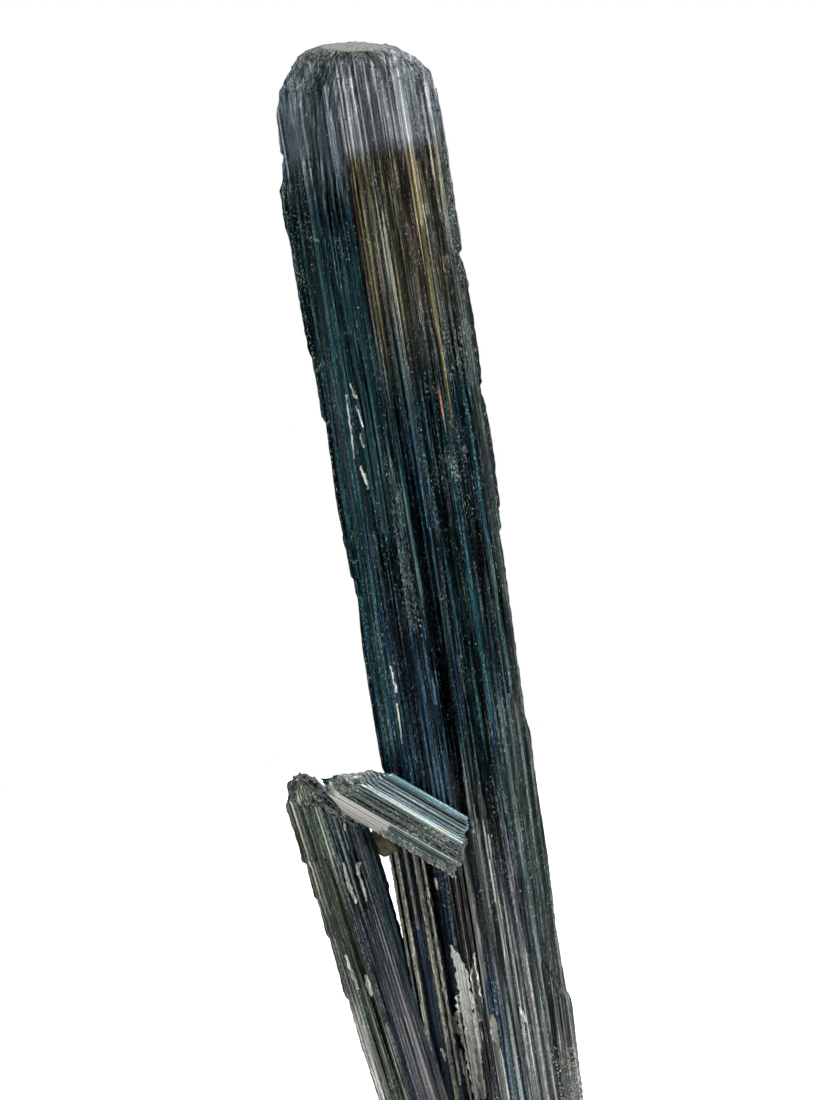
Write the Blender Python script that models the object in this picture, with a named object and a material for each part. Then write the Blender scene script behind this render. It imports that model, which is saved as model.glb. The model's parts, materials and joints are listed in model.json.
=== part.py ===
"""Stibnite crystal cluster, cut off flat at its foot.

One solid holds all the intergrown stibnite, and a small grain of calcite sits in a pocket of it.
Units are metres and +Z is up. The origin is the middle of the flat cut that the cluster rests on,
+X runs to the right of the front, and the front looks towards -Y.

Every upright crystal is a fluted prism: its outline is drawn once, flat, and is then carried up
through a list of level slices, each with its own centre and half sizes.
"""

import math
import random

import bmesh
import bpy
from mathutils import Matrix, Vector

MM = 0.001

# ---- Driving dimensions -------------------------------------------------------------------

CLUSTER_HEIGHT = 160.0 * MM
FLUTE_PITCH = 1.45 * MM            # distance from one lengthwise ridge to the next
FLUTE_DEPTH = 0.42 * MM            # how deep the valley between two ridges is
RIDGE_WANDER = 0.08 * MM           # how far a ridge strays from its line at each slice
GRAIN_CLEARANCE = 0.3 * MM

# The main crystal leans to the left. Each slice gives height, centre x, centre y, half width,
# half depth, the share of the flute depth left there, and how much the slice nods forward.
MAIN_SLICES = [
    (0.0 * MM, 3.2 * MM, 0.0 * MM, 11.3 * MM, 9.6 * MM, 1.0, 0.0),
    (20.0 * MM, 0.4 * MM, 0.2 * MM, 11.2 * MM, 9.4 * MM, 1.0, 0.0),
    (46.0 * MM, -3.0 * MM, 0.5 * MM, 11.3 * MM, 9.2 * MM, 1.0, 0.0),
    (62.0 * MM, -5.3 * MM, 0.8 * MM, 11.5 * MM, 9.0 * MM, 1.1, 0.0),
    (77.0 * MM, -7.3 * MM, 1.0 * MM, 11.7 * MM, 8.9 * MM, 0.9, 0.0),
    (92.5 * MM, -9.8 * MM, 1.2 * MM, 12.3 * MM, 8.8 * MM, 1.1, 0.0),
    (107.5 * MM, -12.1 * MM, 1.4 * MM, 12.4 * MM, 8.7 * MM, 0.9, 0.0),
    (122.5 * MM, -14.7 * MM, 1.6 * MM, 12.75 * MM, 8.6 * MM, 1.1, 0.0),
    (130.5 * MM, -15.9 * MM, 1.8 * MM, 12.75 * MM, 8.6 * MM, 0.9, 0.0),
    (139.0 * MM, -17.1 * MM, 1.9 * MM, 12.85 * MM, 8.5 * MM, 1.1, 0.0),
    (145.5 * MM, -17.5 * MM, 2.0 * MM, 12.5 * MM, 8.5 * MM, 0.9, 0.0),
    (150.5 * MM, -18.2 * MM, 2.0 * MM, 12.4 * MM, 8.4 * MM, 0.8, 0.0),
    (154.0 * MM, -18.4 * MM, 2.0 * MM, 11.8 * MM, 8.1 * MM, 0.6, 0.02),
    (157.1 * MM, -18.2 * MM, 2.0 * MM, 10.5 * MM, 7.3 * MM, 0.5, 0.04),
    (158.9 * MM, -18.3 * MM, 2.0 * MM, 9.0 * MM, 6.5 * MM, 0.35, 0.06),
    (CLUSTER_HEIGHT, -18.8 * MM, 2.0 * MM, 6.9 * MM, 5.6 * MM, 0.2, 0.07),
]
MAIN_CORNERS = [
    (-1.00, 0.10), (-0.93, -0.42), (-0.62, -0.86), (-0.22, -1.00), (0.34, -0.95), (0.80, -0.66),
    (1.00, -0.05), (0.90, 0.52), (0.55, 0.90), (0.10, 1.00), (-0.45, 0.90), (-0.88, 0.55),
]
# Lengthwise partings of the main crystal, front and back. Each gives its offset from the middle,
# half width and depth, and the heights where it starts and is full on its way down.
MAIN_PARTINGS = [
    (0.3 * MM, 1.15 * MM, 4.2 * MM, 124.0 * MM, 70.0 * MM),
    (4.3 * MM, 0.80 * MM, 1.3 * MM, 118.0 * MM, 95.0 * MM),
    (-6.2 * MM, 0.70 * MM, 0.8 * MM, 90.0 * MM, 66.0 * MM),
]

# Outline, seen from the front, of what is broken away below the left column's end.
BREAK_OUTLINE = [
    (-21.0 * MM, 62.5 * MM), (-16.5 * MM, 58.6 * MM), (-14.3 * MM, 53.2 * MM), (-10.5 * MM, 49.5 * MM),
    (-5.0 * MM, 45.5 * MM), (-2.4 * MM, 43.6 * MM), (4.0 * MM, -5.0 * MM), (-22.0 * MM, -5.0 * MM),
]
BREAK_HALF_DEPTH = 16.0 * MM

# The calcite grain sits in the crotch under the cross blade.
GRAIN_CENTRE = (-14.2 * MM, -4.2 * MM, 41.9 * MM)
GRAIN_SIZE = (3.4 * MM, 3.6 * MM, 4.6 * MM)

# The short blade across the front dips to the right.
CROSS_CENTRE = (-12.2 * MM, -10.0 * MM, 47.5 * MM)
CROSS_LENGTH = 27.0 * MM
CROSS_HALF_WIDTH = 4.3 * MM
CROSS_HALF_DEPTH = 3.7 * MM
CROSS_DIP = math.radians(30.5)
BLADE_CORNERS = [(-1.0, -0.10), (-0.42, -1.0), (0.55, -0.50), (1.0, 0.15), (0.5, 0.95), (-0.5, 1.0)]

# The thin columns under the cross blade, from the left.
THIN_COLUMN_COUNT = 4
THIN_COLUMN_FIRST_X = -4.9 * MM
THIN_COLUMN_PITCH = 1.75 * MM

SIX_SIDED = [(-1.0, -0.15), (-0.62, -0.9), (0.45, -1.0), (1.0, -0.1), (0.62, 0.88), (-0.5, 1.0)]
EIGHT_SIDED = [
    (-1.0, 0.12), (-0.82, -0.62), (-0.20, -1.0), (0.55, -0.92),
    (1.0, -0.20), (0.85, 0.62), (0.15, 1.0), (-0.70, 0.80),
]


# ---- Scene ----------------------------------------------------------------------------------

def clear_scene():
    for old in list(bpy.data.objects):
        bpy.data.objects.remove(old, do_unlink=True)


def make_collection(name):
    collection = bpy.data.collections.new(name)
    bpy.context.scene.collection.children.link(collection)
    return collection


def stibnite_material():
    """Dark steel-grey metallic sulphide with a blue-green tarnish."""
    material = bpy.data.materials.new("stibnite")
    material.use_nodes = True
    shader = material.node_tree.nodes["Principled BSDF"]
    shader.inputs["Base Color"].default_value = (0.045, 0.075, 0.090, 1.0)
    shader.inputs["Metallic"].default_value = 0.85
    shader.inputs["Roughness"].default_value = 0.38
    return material


def calcite_material():
    """Tan, slightly translucent grain."""
    material = bpy.data.materials.new("calcite")
    material.use_nodes = True
    shader = material.node_tree.nodes["Principled BSDF"]
    shader.inputs["Base Color"].default_value = (0.34, 0.25, 0.13, 1.0)
    shader.inputs["Metallic"].default_value = 0.0
    shader.inputs["Roughness"].default_value = 0.45
    return material


def add_object(name, mesh_builder, collection, material):
    """Turn a finished bmesh into a named object in a collection."""
    bmesh.ops.recalc_face_normals(mesh_builder, faces=mesh_builder.faces)
    mesh = bpy.data.meshes.new(name)
    mesh_builder.to_mesh(mesh)
    mesh_builder.free()
    mesh.materials.append(material)
    thing = bpy.data.objects.new(name, mesh)
    collection.objects.link(thing)
    return thing


def hide_as_cutter(thing):
    thing.hide_render = True
    thing.display_type = "WIRE"


def boolean(target, operand, operation):
    modifier = target.modifiers.new(operation.lower() + "_" + operand.name, "BOOLEAN")
    modifier.operation = operation
    modifier.solver = "EXACT"
    modifier.object = operand
    hide_as_cutter(operand)


# ---- Fluted prisms --------------------------------------------------------------------------

def walk_outline(corners, half_width, half_depth, pitch):
    """Points at even steps round a cornered outline, in units of its half sizes."""
    points = []
    for index, (x0, y0) in enumerate(corners):
        x1, y1 = corners[(index + 1) % len(corners)]
        side = math.hypot((x1 - x0) * half_width, (y1 - y0) * half_depth)
        steps = max(2, 2 * round(side / pitch))
        for step in range(steps):
            along = step / steps
            points.append((x0 + (x1 - x0) * along, y0 + (y1 - y0) * along))
    return points


def flute_pulls(count, rng):
    """How far each outline point is pulled in: ridges stay out, valleys go in unevenly."""
    pulls = []
    for index in range(count):
        if index % 2:
            pulls.append(rng.uniform(0.45, 1.0))
        else:
            pulls.append(rng.uniform(-0.15, 0.20))
    return pulls


def parting_inset(x, height, partings):
    """How far the partings push the surface in at one place."""
    inset = 0.0
    for offset, half_width, depth, start, full in partings:
        share = min(1.0, max(0.0, (start - height) / (start - full)))
        inset += depth * share * math.exp(-((x - offset) / half_width) ** 2)
    return inset


def fluted_prism(slices, corners, seed, partings=()):
    """A loft with lengthwise ridges through its level slices."""
    rng = random.Random(seed)
    widest = max(cut[3] for cut in slices)
    deepest = max(cut[4] for cut in slices)
    outline = walk_outline(corners, widest, deepest, FLUTE_PITCH)
    pulls = flute_pulls(len(outline), rng)

    prism = bmesh.new()
    rings = []
    for height, centre_x, centre_y, half_width, half_depth, fluting, nod in slices:
        ring = []
        for (unit_x, unit_y), pull in zip(outline, pulls):
            x = unit_x * half_width
            y = unit_y * half_depth
            inset = pull * FLUTE_DEPTH * fluting + rng.uniform(-RIDGE_WANDER, RIDGE_WANDER)
            inset += parting_inset(x, height, partings)
            keep = 1.0 - inset / math.hypot(x, y)
            place = (centre_x + x * keep, centre_y + y * keep, height + nod * y * keep)
            ring.append(prism.verts.new(place))
        rings.append(ring)
    for lower, upper in zip(rings, rings[1:]):
        for index in range(len(outline)):
            after = (index + 1) % len(outline)
            prism.faces.new((lower[index], lower[after], upper[after], upper[index]))
    prism.faces.new(rings[0])
    prism.faces.new(rings[-1])
    return prism


def slice_off(prism, point, normal):
    """Cut a flat crystal face: what lies beyond the plane goes, and the cut is closed."""
    geometry = prism.verts[:] + prism.edges[:] + prism.faces[:]
    cut = bmesh.ops.bisect_plane(
        prism, geom=geometry, plane_co=Vector(point), plane_no=Vector(normal).normalized(),
        clear_outer=True, dist=1e-7,
    )
    edges = [item for item in cut["geom_cut"] if isinstance(item, bmesh.types.BMEdge)]
    bmesh.ops.edgeloop_fill(prism, edges=edges)


def leaning_slices(foot, lean, top, half_width, half_depth, steps, taper=1.0):
    """Slices of a straight crystal: foot is its x and y at the cut, lean is x and y per height."""
    slices = []
    for step in range(steps + 1):
        share = step / steps
        height = top * share
        size = 1.0 + (taper - 1.0) * share
        slices.append((
            height, foot[0] + lean[0] * height, foot[1] + lean[1] * height,
            half_width * size, half_depth * size, 1.0, 0.0,
        ))
    return slices


# ---- Crystals -------------------------------------------------------------------------------

def main_crystal():
    """The tall crystal: two parallel columns under one rounded, flat-topped end."""
    return fluted_prism(MAIN_SLICES, MAIN_CORNERS, seed=3, partings=MAIN_PARTINGS)


def broken_gap():
    """What is missing under the left column's broken end, as a cutter."""
    cutter = bmesh.new()
    bmesh.ops.create_circle(cutter, cap_ends=True, segments=len(BREAK_OUTLINE), radius=MM)
    cutter.verts.ensure_lookup_table()
    for vert, (x, z) in zip(cutter.verts, BREAK_OUTLINE):
        vert.co = Vector((x, -BREAK_HALF_DEPTH, z))
    raised = bmesh.ops.extrude_face_region(cutter, geom=cutter.faces[:], use_keep_orig=True)
    moved = [item for item in raised["geom"] if isinstance(item, bmesh.types.BMVert)]
    bmesh.ops.translate(cutter, verts=moved, vec=Vector((0.0, 2.0 * BREAK_HALF_DEPTH, 0.0)))
    return cutter


def left_crystal():
    """The second crystal, with a blunt point whose long face falls to the right."""
    prism = fluted_prism(
        leaning_slices((-9.5 * MM, -2.0 * MM), (-0.298, -0.02), 56.0 * MM, 5.95 * MM, 6.2 * MM, 5, 0.99),
        EIGHT_SIDED, seed=11, partings=[(1.6 * MM, 0.8 * MM, 1.6 * MM, 60.0 * MM, 44.0 * MM)],
    )
    slice_off(prism, (-27.2 * MM, -2.0 * MM, 51.0 * MM), (0.56, -0.12, 0.80))
    slice_off(prism, (-27.4 * MM, -2.0 * MM, 50.7 * MM), (-0.30, -0.10, 0.94))
    slice_off(prism, (-28.95 * MM, -2.0 * MM, 48.6 * MM), (-0.90, -0.10, 0.40))
    slice_off(prism, (-26.6 * MM, -6.6 * MM, 50.0 * MM), (-0.05, -0.75, 0.66))
    slice_off(prism, (-26.0 * MM, 2.4 * MM, 49.0 * MM), (0.05, 0.75, 0.66))
    return prism


def cross_blade():
    """The short blade that lies across the front, broken at a slant at its left end."""
    slices = []
    for share in (-0.5, -0.25, 0.0, 0.25, 0.5):
        slices.append((share * CROSS_LENGTH, 0.0, 0.0, CROSS_HALF_WIDTH, CROSS_HALF_DEPTH, 1.0, 0.0))
    prism = fluted_prism(slices, BLADE_CORNERS, seed=23)
    slice_off(prism, (-2.9 * MM, 0.0, 11.5 * MM), (0.72, -0.22, 0.66))
    slice_off(prism, (-4.4 * MM, 0.0, 7.4 * MM), (-0.90, -0.20, 0.40))
    slice_off(prism, (3.5 * MM, 0.0, -9.7 * MM), (0.29, -0.20, -0.93))
    lay_down = Matrix.Rotation(CROSS_DIP - math.radians(90.0), 4, "Y")
    bmesh.ops.transform(prism, matrix=Matrix.Translation(CROSS_CENTRE) @ lay_down, verts=prism.verts)
    return prism


def right_rib():
    """A narrow crystal grown along the main one's right side, from a third of its height down."""
    prism = fluted_prism(
        leaning_slices((12.5 * MM, -1.0 * MM), (-0.137, 0.01), 64.0 * MM, 2.95 * MM, 4.2 * MM, 4),
        SIX_SIDED, seed=31,
    )
    slice_off(prism, (6.9 * MM, -1.0 * MM, 58.8 * MM), (0.93, -0.1, 0.34))
    return prism


def low_right_rib():
    prism = fluted_prism(
        leaning_slices((13.5 * MM, -2.4 * MM), (-0.130, 0.0), 24.0 * MM, 2.2 * MM, 4.0 * MM, 2),
        SIX_SIDED, seed=37,
    )
    slice_off(prism, (12.5 * MM, -2.4 * MM, 18.6 * MM), (0.88, -0.2, 0.42))
    return prism


def thin_columns():
    """The bundle under the cross blade: separate thin blades with open slots between them."""
    blades = []
    for index in range(THIN_COLUMN_COUNT):
        foot_x = THIN_COLUMN_FIRST_X + THIN_COLUMN_PITCH * index
        lean = -0.212 + 0.008 * index
        front = (-5.6 + 0.7 * math.sin(2.3 * index)) * MM
        half_width = (0.72 + 0.12 * math.cos(1.7 * index)) * MM
        blades.append(fluted_prism(
            leaning_slices((foot_x, front + 3.2 * MM), (lean, 0.0), 44.5 * MM, half_width, 3.2 * MM, 3),
            SIX_SIDED, seed=41 + index,
        ))
    return blades


def inner_column():
    """The smooth column between the thin ones and the main crystal's right column."""
    return fluted_prism(
        leaning_slices((1.0 * MM, -0.6 * MM), (-0.168, 0.0), 47.0 * MM, 3.3 * MM, 6.2 * MM, 3),
        EIGHT_SIDED, seed=47,
    )


def column_backing():
    """The darker crystal behind the thin columns, seen through their slots."""
    return fluted_prism(
        leaning_slices((-3.0 * MM, 3.0 * MM), (-0.190, 0.01), 45.0 * MM, 3.5 * MM, 3.6 * MM, 3),
        EIGHT_SIDED, seed=53,
    )


def back_crystals():
    """Shorter crystals behind the main one, each with slanted end faces."""
    tall = fluted_prism(
        leaning_slices((4.6 * MM, 9.6 * MM), (-0.150, 0.03), 84.0 * MM, 6.6 * MM, 6.0 * MM, 4, 0.94),
        EIGHT_SIDED, seed=61,
    )
    slice_off(tall, (-7.0 * MM, 12.0 * MM, 79.0 * MM), (0.35, 0.62, 0.70))
    slice_off(tall, (-10.5 * MM, 12.0 * MM, 77.5 * MM), (-0.70, 0.30, 0.65))

    leaning = fluted_prism(
        leaning_slices((8.2 * MM, 9.0 * MM), (-0.075, 0.175), 52.0 * MM, 4.4 * MM, 4.2 * MM, 3, 0.95),
        SIX_SIDED, seed=67,
    )
    slice_off(leaning, (5.4 * MM, 18.0 * MM, 48.0 * MM), (0.50, 0.35, 0.79))
    slice_off(leaning, (3.4 * MM, 18.0 * MM, 48.6 * MM), (-0.62, -0.10, 0.78))

    low = fluted_prism(
        leaning_slices((-6.4 * MM, 6.0 * MM), (-0.200, 0.110), 26.0 * MM, 4.8 * MM, 4.6 * MM, 2, 0.95),
        EIGHT_SIDED, seed=71,
    )
    slice_off(low, (-11.0 * MM, 8.6 * MM, 22.0 * MM), (0.20, 0.62, 0.75))
    slice_off(low, (-13.4 * MM, 8.6 * MM, 21.0 * MM), (-0.75, 0.10, 0.65))
    return [tall, leaning, low]


def grain_mesh(swell):
    """A blunt, slightly flattened grain; swell is how much larger it is made all round."""
    grain = bmesh.new()
    bmesh.ops.create_icosphere(grain, subdivisions=2, radius=1.0)
    bmesh.ops.rotate(grain, cent=Vector(), matrix=Matrix.Rotation(0.4, 3, "Y"), verts=grain.verts)
    for vert in grain.verts:
        corner = 1.0 + 0.10 * math.sin(5.0 * vert.co.x + 1.0) * math.cos(4.0 * vert.co.z)
        half = [size / 2.0 * corner + swell for size in GRAIN_SIZE]
        vert.co = Vector((vert.co.x * half[0], vert.co.y * half[1], vert.co.z * half[2]))
    bmesh.ops.translate(grain, vec=Vector(GRAIN_CENTRE), verts=grain.verts)
    return grain


# ---- Assembly -------------------------------------------------------------------------------

def build():
    clear_scene()
    cluster = make_collection("stibnite_crystal_cluster")
    growth = make_collection("growth_and_cutters")
    stibnite = stibnite_material()
    calcite = calcite_material()

    crystals = add_object("stibnite_crystals", main_crystal(), cluster, stibnite)
    boolean(crystals, add_object("broken_gap", broken_gap(), growth, stibnite), "DIFFERENCE")

    grown = [
        ("left_crystal", left_crystal()),
        ("right_rib", right_rib()),
        ("low_right_rib", low_right_rib()),
        ("column_backing", column_backing()),
        ("inner_column", inner_column()),
    ]
    grown += [("thin_column_%d" % number, blade) for number, blade in enumerate(thin_columns(), 1)]
    grown += [("back_crystal_%d" % number, body) for number, body in enumerate(back_crystals(), 1)]
    grown.append(("cross_blade", cross_blade()))
    for name, body in grown:
        boolean(crystals, add_object(name, body, growth, stibnite), "UNION")

    boolean(crystals, add_object("grain_pocket", grain_mesh(GRAIN_CLEARANCE), growth, stibnite), "DIFFERENCE")
    add_object("calcite_grain", grain_mesh(0.0), cluster, calcite)


build()
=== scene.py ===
import json
import math
import random

import bmesh
import bpy
from mathutils import Matrix, Vector, noise

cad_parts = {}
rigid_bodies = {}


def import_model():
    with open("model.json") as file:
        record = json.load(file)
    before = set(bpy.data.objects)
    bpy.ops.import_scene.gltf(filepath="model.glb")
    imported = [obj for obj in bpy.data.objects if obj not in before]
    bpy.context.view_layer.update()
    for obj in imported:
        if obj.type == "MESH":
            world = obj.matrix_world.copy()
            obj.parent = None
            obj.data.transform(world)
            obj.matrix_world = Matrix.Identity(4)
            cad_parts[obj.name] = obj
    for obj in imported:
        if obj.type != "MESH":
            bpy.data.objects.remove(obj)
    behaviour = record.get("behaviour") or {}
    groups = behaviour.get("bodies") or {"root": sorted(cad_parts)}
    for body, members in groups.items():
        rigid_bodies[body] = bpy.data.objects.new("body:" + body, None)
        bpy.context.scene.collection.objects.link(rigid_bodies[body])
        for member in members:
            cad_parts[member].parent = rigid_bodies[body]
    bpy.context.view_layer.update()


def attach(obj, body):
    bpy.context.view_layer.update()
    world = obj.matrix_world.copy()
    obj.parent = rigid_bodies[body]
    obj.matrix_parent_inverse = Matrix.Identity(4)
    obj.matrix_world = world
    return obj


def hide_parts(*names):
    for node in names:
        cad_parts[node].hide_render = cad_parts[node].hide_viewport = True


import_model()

MM = 0.001


# ---- The studio ---------------------------------------------------------------------------
# The cluster stands on a seamless white table top. A wide soft box hangs over it, and the room
# around it is dim with a few tall bright windows, so that bright ridges have dark neighbours.

CAMERA_DISTANCE = 1.0
CAMERA_ELEVATION = math.radians(10.0)
AIM = Vector((-10.3 * MM, 0.0, 85.2 * MM))
SHOWN_HEIGHT = 165.0 * MM
FILM = 36.0

back_off = Vector((0.0, -math.cos(CAMERA_ELEVATION), math.sin(CAMERA_ELEVATION)))
camera_data = bpy.data.cameras.new("camera")
camera_data.sensor_width = FILM
camera_data.lens = FILM * CAMERA_DISTANCE / SHOWN_HEIGHT
camera = bpy.data.objects.new("camera", camera_data)
camera.location = AIM + back_off * CAMERA_DISTANCE
camera.rotation_euler = (math.radians(90.0) - CAMERA_ELEVATION, 0.0, 0.0)
bpy.context.scene.collection.objects.link(camera)
bpy.context.scene.camera = camera
bpy.context.scene.view_settings.view_transform = "Standard"

bpy.ops.object.select_all(action="DESELECT")
bpy.ops.mesh.primitive_circle_add(vertices=96, radius=0.24, fill_type="TRIFAN")
floor = bpy.context.object
floor.name = "table_top"
floor_material = bpy.data.materials.new("table_top")
floor_material.use_nodes = True
floor_shader = floor_material.node_tree.nodes["Principled BSDF"]
floor_shader.inputs["Base Color"].default_value = (0.90, 0.90, 0.90, 1.0)
floor_shader.inputs["Roughness"].default_value = 0.9
floor_shader.inputs["Specular IOR Level"].default_value = 0.1
floor_shader.inputs["Emission Color"].default_value = (1.0, 1.0, 1.0, 1.0)
floor_shader.inputs["Emission Strength"].default_value = 0.55
floor.data.materials.append(floor_material)


def soft_box(name, place, size, power):
    """A rectangular soft light at a place, turned to the cluster's middle."""
    data = bpy.data.lights.new(name, "AREA")
    data.shape = "RECTANGLE"
    data.size, data.size_y = size
    data.energy = power
    light = bpy.data.objects.new(name, data)
    light.location = place
    light.rotation_euler = (AIM - Vector(place)).to_track_quat("-Z", "Y").to_euler()
    bpy.context.scene.collection.objects.link(light)


soft_box("overhead_box", (0.0, -0.25, 1.1), (1.0, 0.7), 13.0)
soft_box("left_strip", (-0.85, -0.45, 0.35), (0.10, 0.9), 2.6)
soft_box("right_strip", (0.70, -0.62, 0.35), (0.12, 0.9), 3.4)
soft_box("back_strip", (0.35, 0.9, 0.5), (0.9, 0.5), 3.0)


def add_node(tree, kind, *links, **settings):
    """Adds a shader node, sets what is named, and feeds its first inputs from other sockets."""
    added = tree.nodes.new(kind)
    for key, value in settings.items():
        if hasattr(added, key):
            setattr(added, key, value)
        else:
            added.inputs[key.replace("_", " ")].default_value = value
    for socket, source in zip(added.inputs, links):
        if isinstance(source, bpy.types.NodeSocket):
            tree.links.new(source, socket)
        elif source is not None:
            socket.default_value = source
    return added


def arithmetic(tree, operation, *values):
    """One sum, product or other step between values."""
    return add_node(tree, "ShaderNodeMath", *values, operation=operation).outputs[0]


def product(tree, first, second):
    """Two values multiplied."""
    return arithmetic(tree, "MULTIPLY", first, second)


def slope(tree, value, low, high, top=1.0):
    """Nothing at a low value, the top at a high one and past it, and an even slope between."""
    added = add_node(tree, "ShaderNodeMapRange", value, From_Min=low, From_Max=high, To_Max=top)
    return added.outputs["Result"]


def ramp(tree, value, stops):
    """A colour or grey that changes with a value; stops are (position, colour or grey)."""
    added = add_node(tree, "ShaderNodeValToRGB", value)
    elements = added.color_ramp.elements
    while len(elements) < len(stops):
        elements.new(0.5)
    for element, (position, colour) in zip(elements, stops):
        element.position = position
        element.color = (*colour, 1.0) if isinstance(colour, tuple) else (colour, colour, colour, 1.0)
    return added.outputs["Color"]


# The room: white where it is seen directly. Where it lights the cluster, its brightness goes by
# compass direction, in degrees from the front (left is negative), and by height.
ROOM_BY_DIRECTION = [
    (-180, 0.80), (-150, 1.30), (-128, 0.50), (-105, 0.16), (-88, 0.14), (-80, 0.75), (-70, 0.70),
    (-62, 0.12), (-38, 0.10), (-32, 0.55), (-24, 0.50), (-17, 0.14), (-4, 0.12), (3, 0.75), (10, 0.65),
    (16, 0.12), (34, 0.12), (42, 0.95), (56, 1.00), (63, 0.20), (82, 0.22), (92, 0.80), (112, 0.85),
    (125, 0.40), (150, 1.20), (180, 0.80),
]
ROOM_BY_HEIGHT = [(0.0, 0.30), (0.30, 0.45), (0.42, 0.85), (0.55, 1.0), (0.75, 1.15), (1.0, 1.30)]

world = bpy.data.worlds.new("room")
bpy.context.scene.world = world
world.use_nodes = True
room = world.node_tree
room.nodes.clear()
ray = add_node(room, "ShaderNodeTexCoord").outputs["Generated"]
ray_axes = add_node(room, "ShaderNodeSeparateXYZ", ray).outputs
to_the_front = product(room, ray_axes["Y"], -1.0)
direction = slope(room, arithmetic(room, "ARCTAN2", ray_axes["X"], to_the_front), -math.pi, math.pi)
height = slope(room, ray_axes["Z"], -1.0, 1.0)
by_direction = ramp(room, direction, [((turn + 180) / 360, grey) for turn, grey in ROOM_BY_DIRECTION])
room_strength = product(room, by_direction, ramp(room, height, ROOM_BY_HEIGHT))
room_light = add_node(room, "ShaderNodeBackground", None, room_strength)
room_seen = add_node(room, "ShaderNodeBackground", (1.0, 1.0, 1.0, 1.0))
is_seen = add_node(room, "ShaderNodeLightPath").outputs["Is Camera Ray"]
room_mix = add_node(room, "ShaderNodeMixShader", is_seen, room_light.outputs[0], room_seen.outputs[0])
add_node(room, "ShaderNodeOutputWorld", room_mix.outputs[0])


# ---- The main crystal -----------------------------------------------------------------------
# The tallest crystal of the spray: a fluted prism of stibnite under a rounded, frosted, flat-topped
# end. It grew as two parallel columns with a parting between them, whose shade is painted near
# black; the left one is broken off above the cross blade.

# Height, centre x, centre y, half width and half depth, in mm.
MAIN_LEVELS = [
    (0.0, 3.2, 0.0, 11.3, 9.6), (20.0, 0.4, 0.2, 11.2, 9.4), (46.0, -3.0, 0.5, 11.3, 9.2),
    (62.0, -5.3, 0.8, 11.5, 9.0), (77.0, -7.3, 1.0, 11.7, 8.9), (92.5, -9.8, 1.2, 12.3, 8.8),
    (107.5, -12.1, 1.4, 12.4, 8.7), (122.5, -14.7, 1.6, 12.75, 8.6), (130.5, -15.9, 1.8, 12.75, 8.6),
    (139.0, -17.1, 1.9, 12.85, 8.5), (145.5, -17.5, 2.0, 12.5, 8.5), (150.5, -18.2, 2.0, 12.4, 8.4),
    (154.0, -18.4, 2.0, 11.8, 8.3), (157.1, -18.2, 2.0, 10.4, 8.1), (158.9, -18.4, 2.0, 8.8, 7.8),
    (160.0, -18.8, 2.0, 7.1, 7.4), (160.7, -19.0, 2.0, 5.2, 7.0),
]
# Middle x and y, half width and half depth of the flat top, in mm.
PLATEAU = (-19.0, 2.0, 5.4, 7.2)
# The outline as shares of the half width and half depth, round from the left.
MAIN_CORNERS = [
    (-1.00, 0.10), (-0.93, -0.42), (-0.62, -0.86), (-0.22, -1.00), (0.34, -0.95), (0.80, -0.66),
    (1.00, -0.05), (0.90, 0.52), (0.55, 0.90), (0.10, 1.00), (-0.45, 0.90), (-0.88, 0.55),
]
# Offset from the middle, half width, depth, and the heights where it starts and is full, in mm.
MAIN_PARTINGS = [(0.3, 0.60, 1.9, 124.0, 84.0), (4.3, 0.50, 1.0, 118.0, 95.0), (-6.2, 0.50, 0.5, 90.0, 66.0)]
# Side, height, depth and run in mm of the places where a sliver is chipped off an edge.
MAIN_CHIPS = [(-1, 114.3, 0.40, 9.0), (-1, 104.8, 0.45, 18.0), (-1, 81.2, 0.45, 12.0), (1, 130.2, 0.45, 4.0),
              (1, 110.5, 0.35, 6.0), (-1, 144.5, 0.45, 6.0), (1, 88.0, 0.35, 8.0)]
MAIN_AXIS = Vector((-0.158, 0.0, 1.0))
MAIN_FOOT = Vector((4.56, 0.0, 0.0))
UPRIGHT = Vector((0.0, 0.0, 1.0))
# A parting is faint up to the first height and at its full depth past the second, in mm.
PARTING_FADE = (14.0, 62.0)
# What is nearer than this to a crystal's middle belongs to its closed ends, in mm.
END_RADIUS = 4.5


def draw_outline(name, corners, half_width, half_depth, cuts, ridge, seed):
    """Starts a crystal as its flat outline, and leaves it in edit mode.

    Each side is cut into teeth, which become the lengthwise ridges, so many mm deep.
    """
    bpy.ops.object.select_all(action="DESELECT")
    bpy.ops.mesh.primitive_circle_add(vertices=len(corners), fill_type="NGON")
    crystal = bpy.context.object
    crystal.name = name
    for vertex, (x, y) in zip(crystal.data.vertices, corners):
        vertex.co = (x * half_width * MM, y * half_depth * MM, 0.0)
    bpy.ops.object.mode_set(mode="EDIT")
    bpy.ops.mesh.select_all(action="SELECT")
    bpy.ops.mesh.subdivide(number_cuts=cuts)
    rng = random.Random(seed)
    outline = bmesh.from_edit_mesh(crystal.data)
    slide = 0.0
    for index, loop in enumerate(outline.faces[:][0].loops):
        vertex = loop.vert
        tooth = rng.uniform(0.2, 1.0) if index % 2 else rng.uniform(-0.35, 0.25)
        slide = 0.8 * slide + rng.uniform(-0.2, 0.2)
        vertex.co *= 1.0 - ridge * MM * (tooth + slide) / vertex.co.length
    bmesh.update_edit_mesh(crystal.data)
    return crystal


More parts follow.
